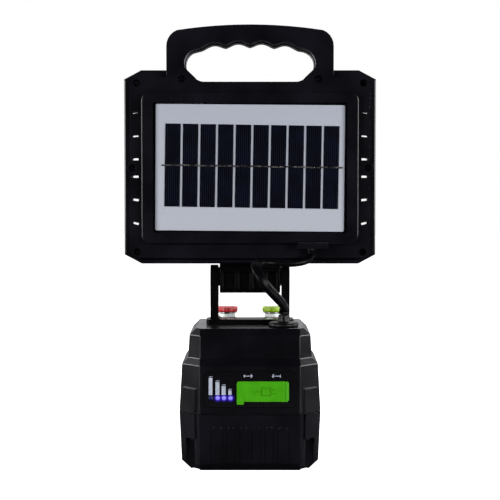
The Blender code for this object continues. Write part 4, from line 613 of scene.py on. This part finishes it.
# %% Charge lights
for number, x in enumerate(LED_XS, 1):
    bm = bmesh.new()
    dome = to_face @ Matrix.Translation(Vector((x, FILM_FRONT + 0.5, LED_Z)) * MM)
    shape = Matrix.Diagonal((1.0, 0.5, 1.0, 1.0))
    bmesh.ops.create_uvsphere(bm, u_segments=24, v_segments=12, radius=LED_RADIUS * MM, matrix=dome @ shape)
    finish = unlit_epoxy if number == 1 else lit_epoxy
    as_piece(bm, f"charge_light_{number}", finish, "base", [f"charge_led_{number}"], sharp=180)
print(len(LED_XS), "charge lights")

# %% [markdown]
# The ten strips are thin plates, and the ribbon that joins them is soldered in ten overlapping steps. In the
# frame they are one solid, so the strips, the ribbon and its solder blobs are made as three pieces here, and
# the strips take that solid's place.

# %% Solar strips and ribbon
CELL_SIZE = (12.1, 65.6)
CELL_PITCH = 13.95
CELL_MIDDLE = (1.4, 239.6)
string_low, string_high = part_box("solar_cell_string")
CELL_FRONT = string_low.y / MM
CELL_THICK = (string_high.y - string_low.y) / MM
RIBBON_FRONT = CELL_FRONT - 0.10
RIBBON_THICK = 0.12
around = Matrix.Translation((0, 0, CELL_MIDDLE[1] * MM)) @ Matrix.Rotation(CELL_TURN, 4, "Y")


def plate(bm, x, z, width, height, front, thick):
    """A thin plate on the panel, turned with the strips. All in mm; x and z count from the panel's middle."""
    place = Matrix.Translation(Vector((x, front + thick / 2, z)) * MM)
    scale = Matrix.Diagonal((width * MM, thick * MM, height * MM, 1))
    bmesh.ops.create_cube(bm, size=1, matrix=around @ place @ scale)


bm = bmesh.new()
xs = [(i - 4.5) * CELL_PITCH + CELL_MIDDLE[0] for i in range(10)]
for x in xs:
    plate(bm, x, 0, *CELL_SIZE, CELL_FRONT, CELL_THICK)
report(as_piece(bm, "silicon_strips", silicon, "head", ["solar_cell_string"]))

bm = bmesh.new()
for i, x in enumerate(xs):
    step = 0.25 if i % 2 else -0.25
    plate(bm, x - 1.2, step * 0.6, CELL_PITCH + 1.2, 1.15, RIBBON_FRONT, RIBBON_THICK)
plate(bm, xs[-1] + CELL_PITCH / 2 + 0.6, 0, 3.2, 1.3, RIBBON_FRONT, RIBBON_THICK)
report(as_piece(bm, "joining_ribbon", tinned, "head"))

bm = bmesh.new()
for i, x in enumerate(xs):
    spot = Vector((x + 0.6 + 0.5 * sin(3 * i), CELL_FRONT - 0.08, 0.15 * cos(5 * i)))
    shape = Matrix.Diagonal((1.5 + 0.5 * sin(7 * i), 0.12, 0.55, 1.0))
    place = around @ Matrix.Translation(spot * MM) @ shape
    bmesh.ops.create_uvsphere(bm, u_segments=16, v_segments=8, radius=1.0 * MM, matrix=place)
report(as_piece(bm, "solder_blobs", solder, "head", sharp=180))

# %% [markdown]
# Behind the lens sits a grid of square white-light LEDs. They show through the ribbed lens as a pattern of
# yellow squares, so each is a small flat block on the board.

# %% Lamp chips
CHIP = 3.4
CHIP_THICK = 0.24
COLUMNS, ROWS = 12, 8
COLUMN_PITCH, ROW_PITCH = 11.6, 11.4
BOARD_MIDDLE_Z = 239.0
board_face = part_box("led_board")[1].y / MM
chip_shape = Matrix.Diagonal((CHIP * MM, CHIP_THICK * MM, CHIP * MM, 1))
bm = bmesh.new()
for column in range(COLUMNS):
    for row in range(ROWS):
        x = (column - (COLUMNS - 1) / 2) * COLUMN_PITCH
        z = BOARD_MIDDLE_Z + (row - (ROWS - 1) / 2) * ROW_PITCH
        place = Matrix.Translation(Vector((x, board_face + CHIP_THICK / 2, z)) * MM)
        bmesh.ops.create_cube(bm, size=1, matrix=place @ chip_shape)
report(as_piece(bm, "lamp_chips", phosphor, "head"))

# %% [markdown]
# The grommet is a rubber turning: a flat collar with a chamfer, and a short boot that hugs the lead. A
# profile spun round the lead's axis makes it round and seamless, which a ring of flat facets can't be.


# %% Grommet
def spin_profile(points, centre, steps=48):
    """A closed solid of revolution about Z from (radius, height) points in mm, first and last on the axis."""
    bm = bmesh.new()
    verts = [bm.verts.new(Vector((centre[0] + r, centre[1], z)) * MM) for r, z in points]
    edges = [bm.edges.new(pair) for pair in zip(verts, verts[1:])]
    bmesh.ops.spin(
        bm,
        geom=verts + edges,
        cent=Vector((*centre, 0)) * MM,
        axis=(0, 0, 1),
        dvec=(0, 0, 0),
        angle=2 * pi,
        steps=steps,
        use_merge=True,
    )
    bmesh.ops.remove_doubles(bm, verts=bm.verts, dist=0.001 * MM)
    bmesh.ops.recalc_face_normals(bm, faces=bm.faces)
    return bm


GROMMET = (27.0, -22.7)
ROOF = 112.1
BOOT_TOP = 121.2
profile = [(0, 106.3), (3.9, 106.3), (3.9, ROOF), (11.5, ROOF), (11.9, 112.6), (12.0, 113.4), (11.8, 114.2)]
profile += [(11.2, 114.9), (10.4, 115.25), (5.6, 115.3), (4.9, 115.6), (4.6, 116.4)]
profile += [(4.45, 118.0), (4.2, 120.4), (4.0, 120.95), (3.6, BOOT_TOP), (0, BOOT_TOP)]
bm = spin_profile(profile, GROMMET)
report(as_piece(bm, "grommet_turned", epdm, "base", ["cable_grommet"], sharp=50))

# %% [markdown]
# The lead is a short flat twin cord. It leaves the gland under the head, runs sideways, turns back in a loop
# towards the user and drops into the grommet. It is thinner than it is wide, with a groove between its two
# cores, so its section is drawn round a smooth curve and turned along the way: lying flat where it runs
# sideways, and with its wide face to the user where it drops. A curve object turns its section less freely.

# %% Lead route
LEAD_ROUTE = (
    (48.0, -31.2, 172.3),
    (48.0, -31.5, 169.2),
    (46.2, -33.5, 166.5),
    (42.5, -36.6, 164.5),
    (37.2, -39.0, 163.4),
    (31.0, -40.5, 163.0),
    (24.5, -41.2, 163.1),
    (18.0, -42.2, 163.5),
    (12.0, -44.5, 164.0),
    (7.2, -48.7, 164.1),
    (4.6, -54.3, 163.0),
    (4.8, -60.2, 160.2),
    (7.0, -64.5, 155.8),
    (10.3, -66.0, 150.4),
    (14.3, -64.0, 145.2),
    (18.2, -59.0, 140.5),
    (21.8, -52.0, 136.2),
    (24.9, -44.0, 132.3),
    (27.0, -36.2, 129.0),
    (27.9, -31.0, 128.4),
    (27.6, -26.2, 127.4),
    (27.0, -23.0, 124.3),
    (27.0, -22.7, 121.8),
)
LEAD_WIDE = 7.8
LEAD_THIN = 5.4


def smooth_line(points, per_span):
    """Points on a smooth curve through the given ones, per_span to each stretch."""
    known = [Vector(p) for p in points]
    known = [2 * known[0] - known[1], *known, 2 * known[-1] - known[-2]]
    line = []
    for a, b, c, d in zip(known, known[1:], known[2:], known[3:]):
        for i in range(per_span):
            t = i / per_span
            bend = (2 * a - 5 * b + 4 * c - d) * t**2
            twist = (3 * b - a - 3 * c + d) * t**3
            line.append(0.5 * (2 * b + (c - a) * t + bend + twist))
    return line + [known[-2]]


centreline = smooth_line(LEAD_ROUTE, 6)


# %% Lead section and mesh
def twin_section(steps=28):
    """Points round the flat twin cord, as (across it, through it), with a groove on each wide face."""
    points = []
    for i in range(steps):
        angle = 2 * pi * i / steps
        wide = cos(angle) * LEAD_WIDE / 2
        groove = 1 - 0.16 * max(0.0, 1 - abs(wide) / 1.1)
        thin = (abs(sin(angle)) ** 0.8) * (1 if sin(angle) >= 0 else -1) * LEAD_THIN / 2 * groove
        points.append((wide, thin))
    return points


def facing(share):
    """The direction of the lead's thin side at a share of its length: up at first, then towards the user."""
    up, user = Vector((0, 0, 1)), Vector((0.35, -1, 0.35)).normalized()
    turned = min(max((share - 0.30) / 0.30, 0.0), 1.0)
    return up.lerp(user, turned * turned * (3 - 2 * turned))


def closed_loop(bm, points):
    """The edges of a closed loop through the points."""
    verts = [bm.verts.new(point) for point in points]
    return [bm.edges.new(pair) for pair in zip(verts, verts[1:] + verts[:1])]


bm = bmesh.new()
loops = []
for i, point in enumerate(centreline):
    before, after = centreline[max(i - 1, 0)], centreline[min(i + 1, len(centreline) - 1)]
    along = (after - before).normalized()
    wide_way = along.cross(facing(i / (len(centreline) - 1))).normalized()
    thin_way = wide_way.cross(along).normalized()
    loops.append(closed_loop(bm, [(point + wide_way * w + thin_way * t) * MM for w, t in twin_section()]))
for low, high in zip(loops, loops[1:]):
    bmesh.ops.bridge_loops(bm, edges=low + high)
for end in (loops[0], loops[-1]):
    bmesh.ops.contextual_create(bm, geom=end)
bmesh.ops.recalc_face_normals(bm, faces=bm.faces)
mesh = bpy.data.meshes.new("twin_lead")
bm.to_mesh(mesh)
bm.free()
mesh.shade_smooth()
mesh.set_sharp_from_angle(angle=radians(60))
mesh.materials.append(sheath_pvc)
lead = bpy.data.objects.new("twin_lead", mesh)
bpy.context.scene.collection.objects.link(lead)
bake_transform(lead)
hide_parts("lead_cable")
report(lead)

# %% [markdown]
# The stage is a pale floor in a white room. A glossy black object shows mostly what surrounds it, so what it
# mirrors is chosen apart from what the camera sees: pale behind, which draws the rims and lightens the roof
# of the base, and dark on the user's side and below, which keeps the flat faces black.

# %% Floor
bm = bmesh.new()
bmesh.ops.create_grid(bm, x_segments=1, y_segments=1, size=6.0)
floor_mesh = bpy.data.meshes.new("floor")
bm.to_mesh(floor_mesh)
bm.free()
floor = bpy.data.objects.new("floor", floor_mesh)
bpy.context.scene.collection.objects.link(floor)
pale, tree, shader, place = start_material("pale_floor", Roughness=0.8)
mottled = add_node(tree, "TexNoise", {"Vector": place, "Scale": 6.0}).outputs["Fac"]
paint = shades(tree, mottled, ("#F7F7F8", "#FCFCFC"))
seen = add_node(tree, "LightPath", {}).outputs["Is Camera Ray"]
card = add_node(tree, "Mix", {"Factor": seen, 6: linear("#2A2A30"), 7: paint}, data_type="RGBA")
tree.links.new(card.outputs[2], shader.inputs["Base Color"])
lift = add_node(tree, "Math", {0: seen, 1: 0.95}, operation="MULTIPLY").outputs[0]
tree.links.new(lift, shader.inputs["Emission Strength"])
shader.inputs["Emission Color"].default_value = (1, 1, 1, 1)
floor_mesh.materials.append(pale)

# %% World
world = bpy.data.worlds.new("studio")
bpy.context.scene.world = world
world.use_nodes = True
sky = world.node_tree
direction = add_node(sky, "TexCoord", {}).outputs["Generated"]
axes = add_node(sky, "SeparateXYZ", {"Vector": direction})
behind = rescale(sky, axes.outputs["Y"], (-0.25, 0.35))
low = rescale(sky, axes.outputs["Z"], (0.3, 0.9), (1.0, 0.3))
level = add_node(sky, "Math", {0: behind, 1: low}, operation="MULTIPLY").outputs[0]
mirrored = {"Factor": level, 6: (0.006, 0.006, 0.013, 1), 7: (0.62, 0.62, 0.65, 1)}
mirrored = add_node(sky, "Mix", mirrored, data_type="RGBA").outputs[2]
seen = add_node(sky, "LightPath", {}).outputs["Is Camera Ray"]
shown = add_node(sky, "Mix", {"Factor": seen, 6: mirrored, 7: (1, 1, 1, 1)}, data_type="RGBA").outputs[2]
sky.links.new(shown, sky.nodes["Background"].inputs["Color"])


# %% Lights and camera
def softbox(name, place, aim, size, watts):
    """A square area light that points at a spot on the object."""
    data = bpy.data.lights.new(name, "AREA")
    data.size = size
    data.energy = watts
    lamp = bpy.data.objects.new(name, data)
    lamp.location = place
    lamp.rotation_euler = (Vector(aim) - Vector(place)).to_track_quat("-Z", "Y").to_euler()
    bpy.context.scene.collection.objects.link(lamp)


softbox("left_light", (-0.98, -0.92, 0.42), (0, 0, 0.20), 0.6, 15)
softbox("right_light", (0.98, -0.92, 0.40), (0, 0, 0.18), 0.6, 16)
softbox("back_light", (0, 1.0, 1.3), (0, 0, 0.15), 0.8, 14)
softbox("left_strip", (-1.1, 0.25, 0.40), (0, 0, 0.25), 0.5, 8)
softbox("right_strip", (1.1, 0.25, 0.40), (0, 0, 0.25), 0.5, 8)

CAMERA_PLACE = Vector((0, -0.962, 0.214))
CAMERA_DROP = radians(2.5)
camera_data = bpy.data.cameras.new("camera")
camera_data.lens = 84.7
camera_data.sensor_width = 36.0
camera = bpy.data.objects.new("camera", camera_data)
camera.location = CAMERA_PLACE
camera.rotation_euler = (pi / 2 - CAMERA_DROP, 0, 0)
bpy.context.scene.collection.objects.link(camera)
bpy.context.scene.camera = camera
bpy.context.scene.view_settings.view_transform = "Standard"
print("stage, lights and camera done")
